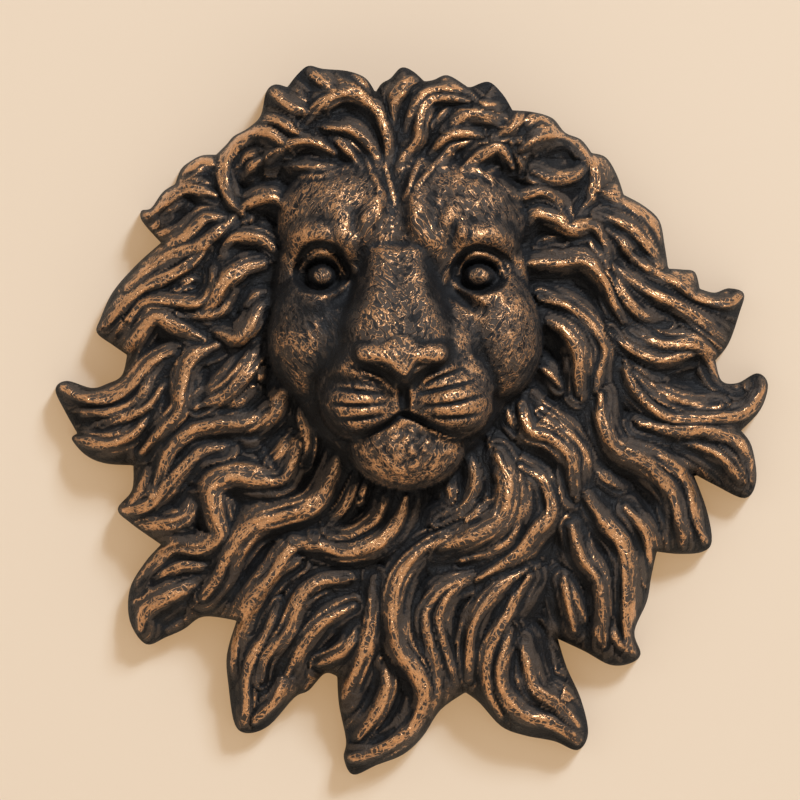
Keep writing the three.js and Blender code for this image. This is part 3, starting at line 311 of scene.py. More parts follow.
# Bridge of the nose: it widens and rises from between the brows down to the muzzle
BRIDGE_X = -8.5
BRIDGE_BROW = 100.0
BRIDGE_WAIST = 46.0
BRIDGE_FOOT = 24.0
BRIDGE_HALF_WIDTH = 19.0
BRIDGE_SPREAD = 11.0
BRIDGE_FLARE = 7.0
BRIDGE_TOP = 85.0
BRIDGE_RISE = 33.0
BRIDGE_BOW = 8.0
BRIDGE_FLANK = 12.0
BRIDGE_FILLET = 7.0

# Bare nose: a broad wing with round ends, and a tip that narrows down to the lip
NOSE_WING = ((-26.5, 38), (14, 37.5), 7, 7)
NOSE_TIP = ((-6, 36.5), (-3.7, 23.4), 13.5, 2.8)
NOSE_EDGE = 5.5
NOSE_LIFT = 13.0
NOSE_BOW = 3.0
NOSE_SLOPE = 4.0
NOSE_FILLET = 3.0

# Soft ridges on the face, and the roots of the hair above the brow: half width, rise, path
FACE_RIDGES = [
    (11, 7, [(-70, 94), (-63, 102), (-52, 104), (-38, 99)]),
    (11, 7, [(27, 99), (39, 103), (50, 102), (61, 94)]),
    (8, 4, [(-34, 89), (-37, 102), (-42, 118)]),
    (8, 4.5, [(-31, 96), (-27, 107), (-18, 127)]),
    (9, 4.5, [(20, 86), (12.5, 99), (4.5, 109), (3.5, 120), (6, 136)]),
    (6, 3.5, [(16, 99), (18.5, 108), (25, 122)]),
    (5, 4.5, [(26, 100), (28, 106), (28, 112)]),
    (11, 3, [(-20, 101), (-19, 82), (-23, 58)]),
    (11, 3, [(5, 97), (5, 80), (9, 58)]),
    (8, 2.5, [(-62, 71), (-52, 68), (-42, 70)]),
    (8, 2.5, [(31, 70), (41, 69), (52, 73)]),
    (2.6, 3, [(-17, 148), (-13, 136), (-9.5, 122)]),
    (2.4, 2.6, [(-27, 149), (-22, 138), (-15, 125)]),
    (2.6, 3, [(5, 148), (0, 136), (-4.5, 124)]),
    (2.4, 2.6, [(17, 149), (10, 140), (2, 131)]),
    (3, 2.6, [(-70, 139), (-57, 137), (-44, 139)]),
    (3, 2.6, [(30, 143), (40, 139), (48, 133)]),
]

# Furrows cut in the face: half width, depth, path
FURROWS = [
    (3.4, 7, [(-31, 30), (-23, 28.5), (-14, 24.5), (-8.5, 19.5)]),
    (3.4, 7, [(19, 30), (12, 28.5), (5.5, 25), (1, 19.5)]),
    (4, 6.5, [(-4.5, 22), (-4.5, 13), (-4, 3)]),
    (2.3, 7, [(-42, -10), (-28, -8.5), (-15, -3), (-4.5, 2.8), (10, -2.8), (22, -7.5), (38, -10)]),
    (1.9, 3.2, [(-42, 17.5), (-30, 16), (-17, 14.5)]),
    (1.9, 3.2, [(-45, 9), (-30, 8), (-16, 9)]),
    (1.9, 3, [(-42, 0), (-28, 1), (-14, 3)]),
    (1.7, 2.4, [(-30, 26), (-22, 23), (-15, 21)]),
    (1.9, 3.2, [(6, 15), (20, 18), (34, 21.5)]),
    (1.9, 3.2, [(8, 8), (24, 9.5), (40, 14)]),
    (1.9, 3, [(12, 2), (24, 1.5), (38, 3)]),
    (1.7, 2.4, [(8, 21), (18, 25), (29, 29)]),
    (1.7, 2.4, [(14, -4), (26, -6), (38, -5)]),
    (9, 6, [(-11, 144), (-9, 120), (-8, 103)]),
    (2.8, 4.5, [(-66, 85), (-59, 96), (-50, 98.5), (-40.5, 93), (-34, 80)]),
    (2.8, 4.5, [(21.5, 76), (25, 87), (31.5, 95), (41, 96), (52, 91), (58, 84)]),
    (4.5, 5, [(-36, 84), (-35, 77), (-38, 69), (-48, 65)]),
    (4.5, 5, [(23, 80), (22.5, 73), (30, 67), (39, 61.5)]),
    (2.2, 5, [(-62, 80.5), (-56, 75), (-50.5, 73.2), (-44, 75), (-39, 80)]),
    (2.2, 5, [(26, 79.5), (31, 75), (37.5, 73.2), (45, 75), (50.5, 80)]),
]
EYELIDS = [
    (3, 7, [(-62.5, 82), (-58.5, 88.5), (-50.7, 91.8), (-43.3, 89), (-39, 82)]),
    (3, 7, [(26, 83), (30.7, 89.8), (38.2, 92), (46.6, 89), (51.5, 81.5)]),
]

# A lock: its body spreads this many half widths, further on the lit side, under a low crest
LOCK_SPREAD = 3.0
LOCK_LEAN = 1.2
LOCK_CREST = 0.28
LOCK_BODY = 0.98
FLOW_MARGIN = 32.0

# The mane rises from its rim, swells towards the face and sinks between the locks
RIM_RISE = 7.0
RIM_REACH = 9.0
SWELL_RISE = 31.0
SWELL_Z = 30.0
SWELL_HALF_WIDTH = 160.0
SWELL_HALF_HEIGHT = 185.0
SWELL_FALL = 1.1
VALLEY_DEPTH = 4.5
VALLEY_WIDTH = 8.0
VALLEY_FROM = 4.0
VALLEY_TO = 16.0

# Camera: the width of wall that the picture takes in, on a sensor this wide
VIEW_WIDTH = 449.44
SENSOR_WIDTH = 36.0

# Share of copper left by rubbing: on the body and the crest of a lock, on the skin and the nose, with
# painted shade under the nose's tip, and on what stands up within three reaches around each place, in
# millimetres
HAIR_WEAR = 0.35
CREST_WEAR = 0.27
SKIN_WEAR = 0.4
NOSE_WEAR_AND_SHADE = 0.05
BRIDGE_WEAR = 0.03
FLANK_WEAR = -0.2
REACHES = (2.2, 5.0, 11.0)
FULL_WEAR = 0.62


class PlanterSettings(bpy.types.PropertyGroup):
    """Sizes and colours of the planter that a user would change."""

    grid_step: FloatProperty(
        name="Grid step", description="Spacing of the carved surface's points",
        default=1.12 * MM, min=0.8 * MM, max=4 * MM, unit="LENGTH", precision=5)
    hair_depth: FloatProperty(
        name="Hair depth", description="Depth of the fine lines that run along the locks",
        default=2.0 * MM, min=0, max=3 * MM, unit="LENGTH", precision=5)
    beaten_depth: FloatProperty(
        name="Beaten depth", description="Depth of the small dents all over the casting",
        default=0.45 * MM, min=0, max=2 * MM, unit="LENGTH", precision=5)
    edge_rows: IntProperty(
        name="Edge rows", description="Rows of faces between the front and the flat back",
        default=4, min=2, max=12)
    wear: FloatProperty(
        name="Wear", description="How much copper shows through the dark patina",
        default=0.5, min=0, max=1, subtype="FACTOR")
    copper: FloatVectorProperty(
        name="Copper", description="Colour of the rubbed copper on the crests",
        default=(0.66, 0.375, 0.195), size=3, min=0, max=1, subtype="COLOR")
    film: FloatVectorProperty(
        name="Brown film", description="Colour of the thin copper film on the slopes",
        default=(0.06, 0.0485, 0.0415), size=3, min=0, max=1, subtype="COLOR")
    patina: FloatVectorProperty(
        name="Patina", description="Colour of the dark patina in the hollows",
        default=(0.0072, 0.0078, 0.0094), size=3, min=0, max=1, subtype="COLOR")
    backdrop: FloatVectorProperty(
        name="Backdrop", description="Colour of the pale backdrop and floor",
        default=(0.42, 0.445, 0.435), size=3, min=0, max=1, subtype="COLOR")


def clamp01(value):
    return np.clip(value, 0, 1)


def ease(low, high, value):
    t = clamp01((value - low) / (high - low))
    return t * t * (3 - 2 * t)


def blend(a, b, fillet):
    """The greater of two heights, with their meeting filled by a soft fillet."""
    share = clamp01(0.5 + 0.5 * (a - b) / fillet)
    return b * (1 - share) + a * share + fillet * share * (1 - share)


def smooth_path(points, steps):
    """Curve through given points, as rows of x and z."""
    p = np.array([points[0], *points, points[-1]], float)
    t = (np.arange(steps) / steps)[:, None]
    legs = []
    for a, b, c, d in zip(p, p[1:], p[2:], p[3:]):
        bend = 2 * a - 5 * b + 4 * c - d
        twist = 3 * b - a - 3 * c + d
        legs.append(0.5 * (2 * b + (c - a) * t + bend * t**2 + twist * t**3))
    return np.vstack([*legs, p[-1:]])


def mane_outline():
    tips = []
    for tip, following in zip(MANE_TIPS, MANE_TIPS[1:] + MANE_TIPS[:1]):
        tips.append(smooth_path([*tip, following[0]], 5)[:-1])
    return np.vstack(tips)


class Nearest:
    """Nearest place on a path for each point: gap, length along it, side, leg and foot."""

    def __init__(self, x, z, path):
        lengths = np.r_[0, np.cumsum(np.hypot(*np.diff(path, axis=0).T))]
        square = np.full(x.shape, np.inf)
        self.run = np.zeros(x.shape)
        self.side = np.ones(x.shape)
        self.lean = np.zeros(x.shape)
        self.foot_x = np.zeros(x.shape)
        self.foot_z = np.zeros(x.shape)
        for start, a, b in zip(lengths, path, path[1:]):
            dx, dz = b - a
            length = math.hypot(dx, dz)
            if length == 0:
                continue
            t = clamp01(((x - a[0]) * dx + (z - a[1]) * dz) / length**2)
            foot_x = a[0] + t * dx
            foot_z = a[1] + t * dz
            gap = (x - foot_x) ** 2 + (z - foot_z) ** 2
            closer = gap < square
            square = np.where(closer, gap, square)
            self.run = np.where(closer, start + t * length, self.run)
            self.side = np.where(closer, np.sign(dx * (z - a[1]) - dz * (x - a[0])), self.side)
            self.lean = np.where(closer, (0.8 * dx - 0.5 * dz) / length, self.lean)
            self.foot_x = np.where(closer, foot_x, self.foot_x)
            self.foot_z = np.where(closer, foot_z, self.foot_z)
        self.gap = np.sqrt(square)
        self.share = self.run / lengths[-1]


def inside_outline(x, z, outline):
    inside = np.zeros(x.shape, bool)
    for (ax, az), (bx, bz) in zip(outline, np.roll(outline, -1, axis=0)):
        if az == bz:
            continue
        crosses = ((az > z) != (bz > z)) & (x < (bx - ax) * (z - az) / (bz - az) + ax)
        inside ^= crosses
    return inside


def oval_share(x, z, cx, cz, rx, rz, turn=0.0):
    """How far a place lies inside an oval: 1 at its middle, 0 and less outside."""
    angle = math.radians(turn)
    u = ((x - cx) * math.cos(angle) + (z - cz) * math.sin(angle)) / rx
    v = ((z - cz) * math.cos(angle) - (x - cx) * math.sin(angle)) / rz
    return 1 - u * u - v * v


def near_path(x, z, path, margin):
    low = path.min(axis=0) - margin
    high = path.max(axis=0) + margin
    return np.flatnonzero((x > low[0]) & (x < high[0]) & (z > low[1]) & (z < high[1]))


def hashed(a, b, seed):
    value = np.sin(a * 127.1 + b * 311.7 + seed * 74.7) * 43758.5453
    return value - np.floor(value)


def value_noise(u, v, seed):
    """Smooth noise from 0 to 1 with a period of about one unit."""
    low_u, low_v = np.floor(u), np.floor(v)
    tu, tv = ease(0, 1, u - low_u), ease(0, 1, v - low_v)
    south = hashed(low_u, low_v, seed) * (1 - tu) + hashed(low_u + 1, low_v, seed) * tu
    north = hashed(low_u, low_v + 1, seed) * (1 - tu) + hashed(low_u + 1, low_v + 1, seed) * tu
    return south * (1 - tv) + north * tv


class Strands:
    """Rise of the locks, and the run of the hair between them, at each point."""

    def __init__(self, x, z, rows):
        self.rise = np.zeros(x.shape)
        self.crest = np.zeros(x.shape)
        self.body = np.zeros(x.shape)
        self.along = np.zeros(x.shape)
        self.across = np.zeros(x.shape)
        self.seed = np.zeros(x.shape)
        self.rank = np.full(x.shape, np.inf)
        for number, (width, rise, points) in enumerate(rows):
            self.lay(x, z, number, width, rise, smooth_path(points, 6))

    def lay(self, x, z, number, width, rise, path):
        here = near_path(x, z, path, FLOW_MARGIN)
        near = Nearest(x[here], z[here], path)
        swell = 0.3 + 0.7 * np.sin(np.pi * (0.1 + 0.82 * near.share))
        waves = 0.85 + 0.3 * value_noise(near.run / 19, number * 3.7, 40)
        skirt = LOCK_SPREAD + LOCK_LEAN * near.side * np.clip(1.6 * near.lean, -1, 1)
        u = near.gap / (width * swell)
        core = clamp01(1 - u * u)
        body = (1 - clamp01(u / skirt) ** 1.4) ** 1.6
        height = rise * swell * waves * (LOCK_CREST * core + LOCK_BODY * body)
        higher = height > self.rise[here]
        self.rise[here] = np.where(higher, height, self.rise[here])
        rubbed = 0.55 + 0.9 * value_noise(near.run / 24, number * 5.1, 77)
        line = np.exp(-13 * u * u) * swell * rubbed * min(1, rise / 7)
        self.crest[here] = np.maximum(self.crest[here], line)
        self.body[here] = np.maximum(self.body[here], body * swell * waves)
        rank = near.gap - width
        closer = rank < self.rank[here]
        spot = here[closer]
        self.rank[spot] = rank[closer]
        self.along[spot] = near.run[closer]
        self.across[spot] = (near.gap * near.side)[closer]
        self.seed[spot] = number


def cut_along(x, z, width, depth, points, fullness):
    """Round-bottomed cut along a path, dying away at both ends."""
    path = smooth_path(points, 8)
    here = near_path(x, z, path, width)
    near = Nearest(x[here], z[here], path)
    across = clamp01(near.gap / width)
    depths = np.zeros(x.shape)
    depths[here] = depth * np.sin(np.pi * (0.1 + 0.8 * near.share)) * (1 - across**2) ** fullness
    return depths


def bar_inset(x, z, start, end, wide, narrow):
    """How far a place lies inside a bar with round ends that tapers from its wide end."""
    near = Nearest(x, z, np.array([start, end], float))
    return wide + (narrow - wide) * near.share - near.gap


def nose_inset(x, z):
    inset = blend(bar_inset(x, z, *NOSE_WING), bar_inset(x, z, *NOSE_TIP), NOSE_FILLET)
    return inset / NOSE_EDGE


def carve_nose(x, z, face):
    inset = nose_inset(x, z)
    rounded = np.sqrt(1 - (1 - clamp01(inset)) ** 2)
    away = NOSE_BOW * ((x - MIDLINE) / NOSE_WING[0][0]) ** 2 + NOSE_SLOPE * ease(36, 46, z)
    pad = NOSE_REACH - NOSE_LIFT * (1 - rounded) - away
    return np.where(inset > 0, np.maximum(face, pad), face)


def carve_bridge(x, z, face):
    """The bridge runs down from between the brows and spreads into the muzzle."""
    spread = 1 - ease(BRIDGE_WAIST, BRIDGE_BROW, z)
    flare = 1 - ease(BRIDGE_FOOT, BRIDGE_WAIST, z)
    half = BRIDGE_HALF_WIDTH + BRIDGE_SPREAD * spread + BRIDGE_FLARE * flare
    across = np.clip(np.abs(x - BRIDGE_X) / half, 0, 1.5)
    top = BRIDGE_TOP + BRIDGE_RISE * (1 - ease(36, 112, z)) - 24 * (1 - ease(6, 30, z))
    form = top - BRIDGE_BOW * across**2 - BRIDGE_FLANK * across**5
    form = np.where(across < 1.5, form, LOWEST)
    ends = 50 * ease(94, 116, z) + 90 * (1 - ease(-4, 12, z))
    return blend(face, form - ends, BRIDGE_FILLET)


def raise_mass(x, z, face, mass, fillet):
    cx, cz, rx, rz, turn, low, high, fullness = mass
    share = oval_share(x, z, cx, cz, rx, rz, turn)
    form = np.where(share > 0, low + (high - low) * clamp01(share) ** fullness, LOWEST)
    return blend(face, form, fillet)


def carve_face(x, z):
    face = np.full(x.shape, LOWEST)
    for mass in FACE_MASSES:
        face = raise_mass(x, z, face, mass, FACE_FILLET)
    face = carve_bridge(x, z, face)
    for width, rise, points in FACE_RIDGES:
        face = face + cut_along(x, z, width, rise, points, 2)
    for socket in EYE_SOCKETS:
        face = face - SOCKET_DEPTH * clamp01(oval_share(x, z, *socket)) ** 0.7
    for mass in MUZZLE_MASSES:
        face = raise_mass(x, z, face, mass, MUZZLE_FILLET)
    face = carve_nose(x, z, face)
    for width, depth, points in FURROWS:
        face = face - cut_along(x, z, width, depth, points, 1)
    for ball in EYEBALLS:
        share = oval_share(x, z, *ball)
        form = EYEBALL_EDGE + EYEBALL_RISE * np.sqrt(clamp01(share))
        face = np.where(share > 0, np.maximum(face, form), face)
    for width, rise, points in EYELIDS:
        face = face + cut_along(x, z, width, rise, points, 0.7)
    return face


def crown_share(x, z):
    """Share of the crown's full thickness, where the pocket lies behind the mane."""
    side = np.abs(x - MIDLINE)
    edge = POCKET_WIDTH / 2 + CROWN_MARGIN
    return ease(CROWN_FROM, CROWN_FULL, z) * (1 - ease(edge, edge + CROWN_FADE, side))


def rim_height(x, z):
    return RIM_THICKNESS + (CROWN_EDGE - RIM_THICKNESS) * crown_share(x, z)


class Relief:
    """Height of the carving off the wall, with what the finish needs to know of each point."""

    def __init__(self, x, z, outline, settings):
        locks = [*LEFT_LOCKS, *BEARD_LOCKS, *RIGHT_LOCKS, *CROWN_LOCKS, *FINE_STRANDS]
        hair = Strands(x, z, locks)
        gap = Nearest(x, z, np.vstack([outline, outline[:1]])).gap
        rim = rim_height(x, z)
        spread = ((x - MIDLINE) / SWELL_HALF_WIDTH) ** 2 + ((z - SWELL_Z) / SWELL_HALF_HEIGHT) ** 2
        swell = SWELL_RISE * np.exp(-SWELL_FALL * spread**2) * (1 - crown_share(x, z))
        valley = VALLEY_DEPTH * ease(0, VALLEY_WIDTH, hair.rank) * ease(VALLEY_FROM, VALLEY_TO, gap)
        mane = rim + RIM_RISE * (1 - np.exp(-gap / RIM_REACH)) + swell + hair.rise - valley
        face = carve_face(x, z)
        self.face = ease(-3, 3, face - mane)
        # Nose pad: a little more copper on top, and painted shade that darkens its lower tip
        self.nose = ease(0, 0.6, nose_inset(x, z)) * (1 - 6 * ease(35, 24, z))
        self.eye = np.maximum.reduce([clamp01(oval_share(x, z, *ball)) for ball in EYEBALLS])
        # Patches rubbed more and less, 21 mm and 9 mm across
        self.patches = value_noise(x / 21, z / 21, 60) + value_noise(x / 9, z / 9, 61) - 1
        # Painted shade: the left cheek and the left eye are darkened, as if the light came from the
        # right
        self.painted_left_shade = 0.16 * ease(-18, -48, x) * ease(96, 70, z) * self.face
        # Painted shade on the right side and the crown, taking back copper where the key light falls
        # strongest
        self.lit_side_shade = 0.02 + 0.06 * ease(-20, 130, x) + 0.06 * ease(90, 150, z)
        chin = clamp01(oval_share(x, z, *CHIN[:5]))
        bridge = ease(30, 20, np.abs(x + 8)) * ease(30, 50, z) * ease(128, 108, z)
        self.strokes = self.face * bridge
        lines = self.hair_lines(hair)
        mane = mane + settings.hair_depth / MM * lines * (1 - 0.5 * clamp01(hair.crest))
        full = blend(mane, face, MANE_FILLET + BROW_FILLET * ease(BROW_FROM, BROW_TO, z))
        full = full + settings.beaten_depth / MM * self.beaten(x, z) * (1 + 2.5 * np.sqrt(chin))
        inset = 1 - clamp01(gap / RIM_ROUND)
        self.height = rim + (full - rim) * np.sqrt(1 - inset**2)
        self.crest = hair.crest * (1 - self.face)
        self.body = hair.body * (1 - self.face)
        self.along = hair.along
        self.across = hair.across
        self.seed = hair.seed
        self.lean = np.tanh((x - MIDLINE) / 9) * (1 - 2 * ease(86, 108, z))

    @staticmethod
    def hair_lines(hair):
        """Ridged lines that follow the locks, from -1 to 1."""
        coarse = value_noise(hair.along / 26, hair.across / 3.4, hair.seed)
        fine = value_noise(hair.along / 17, hair.across / 2.3, hair.seed + 500)
        return 0.7 * (1 - 2 * np.abs(2 * coarse - 1)) + 0.6 * (2 * fine - 1)

    @staticmethod
    def beaten(x, z):
        return (value_noise(x / 3, z / 3, 900) + value_noise((x + z) / 4.6, (x - z) / 4.6, 901)) - 1


def draw_in(x, z, height):
    """Places on the sides and the front draw in a little towards a point far in front."""
    drawn = 1 - height / DRAW_FAR
    return np.stack([DRAW_X + (x - DRAW_X) * drawn, -height, DRAW_Z + (z - DRAW_Z) * drawn], axis=-1)


def read_points(bm):
    return np.array([v.co for v in bm.verts])


def place_points(bm, points):
    for vertex, point in zip(bm.verts, points):
        vertex.co = point


def neighbour_mean(values, edges, count):
    """Mean of each point's neighbours."""
    ends = np.concatenate([edges[:, 0], edges[:, 1]])
    others = np.concatenate([edges[:, 1], edges[:, 0]])
    total = np.bincount(ends, values[others], count)
    return total / np.maximum(1, np.bincount(ends, minlength=count))


def soften(values, edges, rounds):
    for _ in range(rounds):
        values = 0.5 * (values + neighbour_mean(values, edges, len(values)))
    return values


def front_net(outline, step):
    """Flat net of square faces that fills the outline, with its border set on it."""
    count = round(2 * SHEET_HALF / step)
    bm = bmesh.new()
    bmesh.ops.create_grid(bm, x_segments=count, y_segments=count, size=SHEET_HALF)
    centres = np.array([face.calc_center_median() for face in bm.faces])
    kept = inside_outline(centres[:, 0], centres[:, 1], outline)
    outside = [face for face, keep in zip(bm.faces, kept) if not keep]
    bmesh.ops.delete(bm, geom=outside, context="FACES")
    points = read_points(bm)
    border = np.array([v.is_boundary for v in bm.verts])
    ring = np.vstack([outline, outline[:1]])
    near = Nearest(points[border, 0], points[border, 1], ring)
    points[border, 0] = near.foot_x
    points[border, 1] = near.foot_z
    bm.verts.index_update()
    edges = np.array([[v.index for v in edge.verts] for edge in bm.edges])
    loose = ~border & (Nearest(points[:, 0], points[:, 1], ring).gap < 3 * step)
    for _ in range(6):
        for axis in (0, 1):
            mean = neighbour_mean(points[:, axis], edges, len(points))
            points[loose, axis] = 0.5 * (points[loose, axis] + mean[loose])
    place_points(bm, points)
    return bm, edges


def add_layer(bm, name, values):
    layer = bm.verts.layers.float.new(name)
    for vertex, value in zip(bm.verts, values):
        vertex[layer] = value


def steepness(height, edges, step):
    """Mean slope along the edges that meet at each point."""
    slope = np.abs(height[edges[:, 0]] - height[edges[:, 1]]) / step
    count = len(height)
    total = np.bincount(edges[:, 0], slope, count) + np.bincount(edges[:, 1], slope, count)
    return total / 4


def wear_and_shade_of(relief, edges, step):
    """Where hands and cloth have rubbed the copper bare: crests at several scales; with painted shade
    on the left of the face, on the lit right side and crown, on the eyeball rims and under the nose's
    tip.
    """
    height = relief.height
    small, middle, large = (
        height - soften(height, edges, max(1, round((reach / step) ** 2))) for reach in REACHES)
    # The locks lose copper to painted shade on the lit right side and crown
    hair = HAIR_WEAR * ease(0.22, 0.78, relief.body) + CREST_WEAR * relief.crest - relief.lit_side_shade
    # Painted shade from the lids: the eyeballs darken towards their rims, keeping copper only at the
    # middle
    eye = np.where(relief.eye > 0, 0.45 * relief.eye - 0.42, 0)
    steep = soften(steepness(height, edges, step), edges, 4)
    flank = ease(0.6, 1.5, steep) * relief.face
    skin = (SKIN_WEAR + NOSE_WEAR_AND_SHADE * relief.nose + BRIDGE_WEAR * relief.strokes + eye - relief.painted_left_shade
            + FLANK_WEAR * flank)
    relieved = (0.24 * np.clip(small, -1, 1) / 0.5 + 0.13 * np.clip(middle, -4, 2.5) / 2.2
                + 0.08 * np.clip(large, -8, 5) / 5 * (1 - 0.4 * relief.face))
    relieved = np.where(relieved > 0, relieved * (1 - 0.8 * flank), relieved)
    uneven = (0.12 + 0.03 * relief.face) * relief.patches
    wear = hair * (1 - relief.face) + skin * relief.face + relieved + uneven
    wear = np.where(wear > FULL_WEAR, FULL_WEAR + 0.55 * (wear - FULL_WEAR), wear)
    hollow = clamp01(-0.6 * middle / 1.6 - 0.6 * large / 4) * (1 - 0.85 * relief.face)
    return clamp01(wear), hollow


def carved_front(settings):
    """Closed shell of the mask: the carved front, the sides and the flat back, in millimetres."""
    step = settings.grid_step / MM
    outline = mane_outline()
    bm, edges = front_net(outline, step)
    flat = read_points(bm)
    relief = Relief(flat[:, 0], flat[:, 1], outline, settings)
    wear, hollow = wear_and_shade_of(relief, edges, step)
    # The wear layer holds the rubbed copper together with its painted shades
    for name, values in (("wear", wear), ("hollow", hollow), ("face", relief.face),
                         ("along", relief.along), ("across", relief.across), ("strand", relief.seed),
                         ("lean", relief.lean), ("strokes", relief.strokes)):
        add_layer(bm, name, values)
    height = relief.height
    wall = {}
    for vertex, (x, z, _), rise in zip(bm.verts, flat, height):
        if vertex.is_boundary:
            wall[vertex] = (x, z, rise)
    place_points(bm, draw_in(flat[:, 0], flat[:, 1], height))
    border = [edge for edge in bm.edges if edge.is_boundary]
    rows = settings.edge_rows
    for row in range(1, rows + 1):
        grown = bmesh.ops.extrude_edge_only(bm, edges=border)["geom"]
        border = [item for item in grown if isinstance(item, bmesh.types.BMEdge) and item.is_boundary]
        grown_wall = {}
        for edge in border:
            for vertex in edge.verts:
                if vertex in grown_wall:
                    continue
                inner = (link.other_vert(vertex) for link in vertex.link_edges)
                grown_wall[vertex] = next(wall[source] for source in inner if source in wall)
        for vertex, (x, z, rise) in grown_wall.items():
            vertex.co = Vector(draw_in(x, z, rise * (1 - row / rows)))
        wall = grown_wall
    back = bmesh.ops.holes_fill(bm, edges=border, sides=0)["faces"]
    for face in back:
        face.material_index = 1
    bmesh.ops.triangulate(bm, faces=back, quad_method="BEAUTY", ngon_method="EAR_CLIP")
    bmesh.ops.recalc_face_normals(bm, faces=bm.faces)
    return bm


def block(low, high):
    """Plain block between two corners."""
    bm = bmesh.new()
    bmesh.ops.create_cube(bm, size=1)
    low, high = Vector(low), Vector(high)
    bmesh.ops.scale(bm, vec=high - low, verts=bm.verts)
    bmesh.ops.translate(bm, vec=(high + low) / 2, verts=bm.verts)
    return bm


def pocket_cutter():
    """Planting pocket, open upwards behind the crown, with round lower corners."""
    left = MIDLINE - POCKET_WIDTH / 2
    right = MIDLINE + POCKET_WIDTH / 2
    bm = block((left, -BACK_WALL - POCKET_DEPTH, POCKET_FLOOR), (right, -BACK_WALL, CROWN_CLEAR))
    lower = [
        edge for edge in bm.edges
        if all(v.co.z < POCKET_FLOOR + 1 for v in edge.verts)
        and edge.verts[0].co.y != edge.verts[1].co.y
    ]
    bmesh.ops.bevel(
        bm, geom=lower, offset=POCKET_CORNER, offset_type="OFFSET", segments=10, profile=0.5,
        affect="EDGES", material=-1)
    return bm


def extruded(bm, depth):
    """Gives a flat face in the wall's plane its depth, away from the wall."""
    faces = list(bm.faces)
    grown = bmesh.ops.extrude_face_region(bm, geom=faces)["geom"]
    points = [item for item in grown if isinstance(item, bmesh.types.BMVert)]
    bmesh.ops.translate(bm, vec=(0, -depth, 0), verts=points)
    bmesh.ops.recalc_face_normals(bm, faces=bm.faces)
    return bm


UPRIGHT = Matrix.Rotation(math.pi / 2, 4, "X")


def arch_cutter():
    """Clears the back above a low arch, behind the crown's locks."""
    bm = bmesh.new()
    bmesh.ops.create_grid(bm, x_segments=16, y_segments=1, size=1, matrix=UPRIGHT)
    half = POCKET_WIDTH / 2
    for vertex in bm.verts:
        u = vertex.co.x
        arch = CROWN_ARCH - ARCH_RISE * u * u
        vertex.co = Vector((MIDLINE + half * u, 1, CROWN_CLEAR if vertex.co.z > 0 else arch))
    return extruded(bm, BACK_WALL + POCKET_DEPTH)


def slot_cutter(x, width, rise, near, far):
    """Round-ended slot between two distances off the wall."""
    bm = bmesh.new()
    bmesh.ops.create_circle(bm, cap_ends=True, segments=36, radius=width / 2, matrix=UPRIGHT)
    for vertex in bm.verts:
        lift = rise if vertex.co.z > 0 else 0
        vertex.co = Vector((x + vertex.co.x, -near, KEYHOLE_HEIGHT + vertex.co.z + lift))
    return extruded(bm, far - near)


def cutters():
    yield pocket_cutter()
    yield arch_cutter()
    overlap = 0.5
    for side in (-1, 1):
        x = MIDLINE + side * (POCKET_WIDTH / 2 + KEYHOLE_OFFSET)
        yield slot_cutter(x, KEYHOLE_HEAD, 0, -1, KEYHOLE_LIP + overlap)
        yield slot_cutter(x, KEYHOLE_SLOT, KEYHOLE_RISE, -1, KEYHOLE_LIP + overlap)
        yield slot_cutter(x, KEYHOLE_HEAD, KEYHOLE_RISE, KEYHOLE_LIP, KEYHOLE_DEPTH)


def object_from(bm, name, materials):
    """Object in metres, at the origin, from a bmesh in millimetres."""
    bmesh.ops.scale(bm, vec=(MM, MM, MM), verts=bm.verts)
    mesh = bpy.data.meshes.new(name)
    bm.to_mesh(mesh)
    bm.free()
    for material in materials:
        mesh.materials.append(material)
    made = bpy.data.objects.new(name, mesh)
    bpy.context.scene.collection.objects.link(made)
    return made


def cut_away(piece, cutter):
    modifier = piece.modifiers.new("cut", "BOOLEAN")
    modifier.operation = "DIFFERENCE"
    modifier.solver = "MANIFOLD"
    modifier.material_mode = "TRANSFER"
    modifier.object = cutter
    with bpy.context.temp_override(object=piece, active_object=piece, selected_objects=[piece]):
        bpy.ops.object.modifier_apply(modifier=modifier.name)
    mesh = cutter.data
    bpy.data.objects.remove(cutter)
    bpy.data.meshes.remove(mesh)


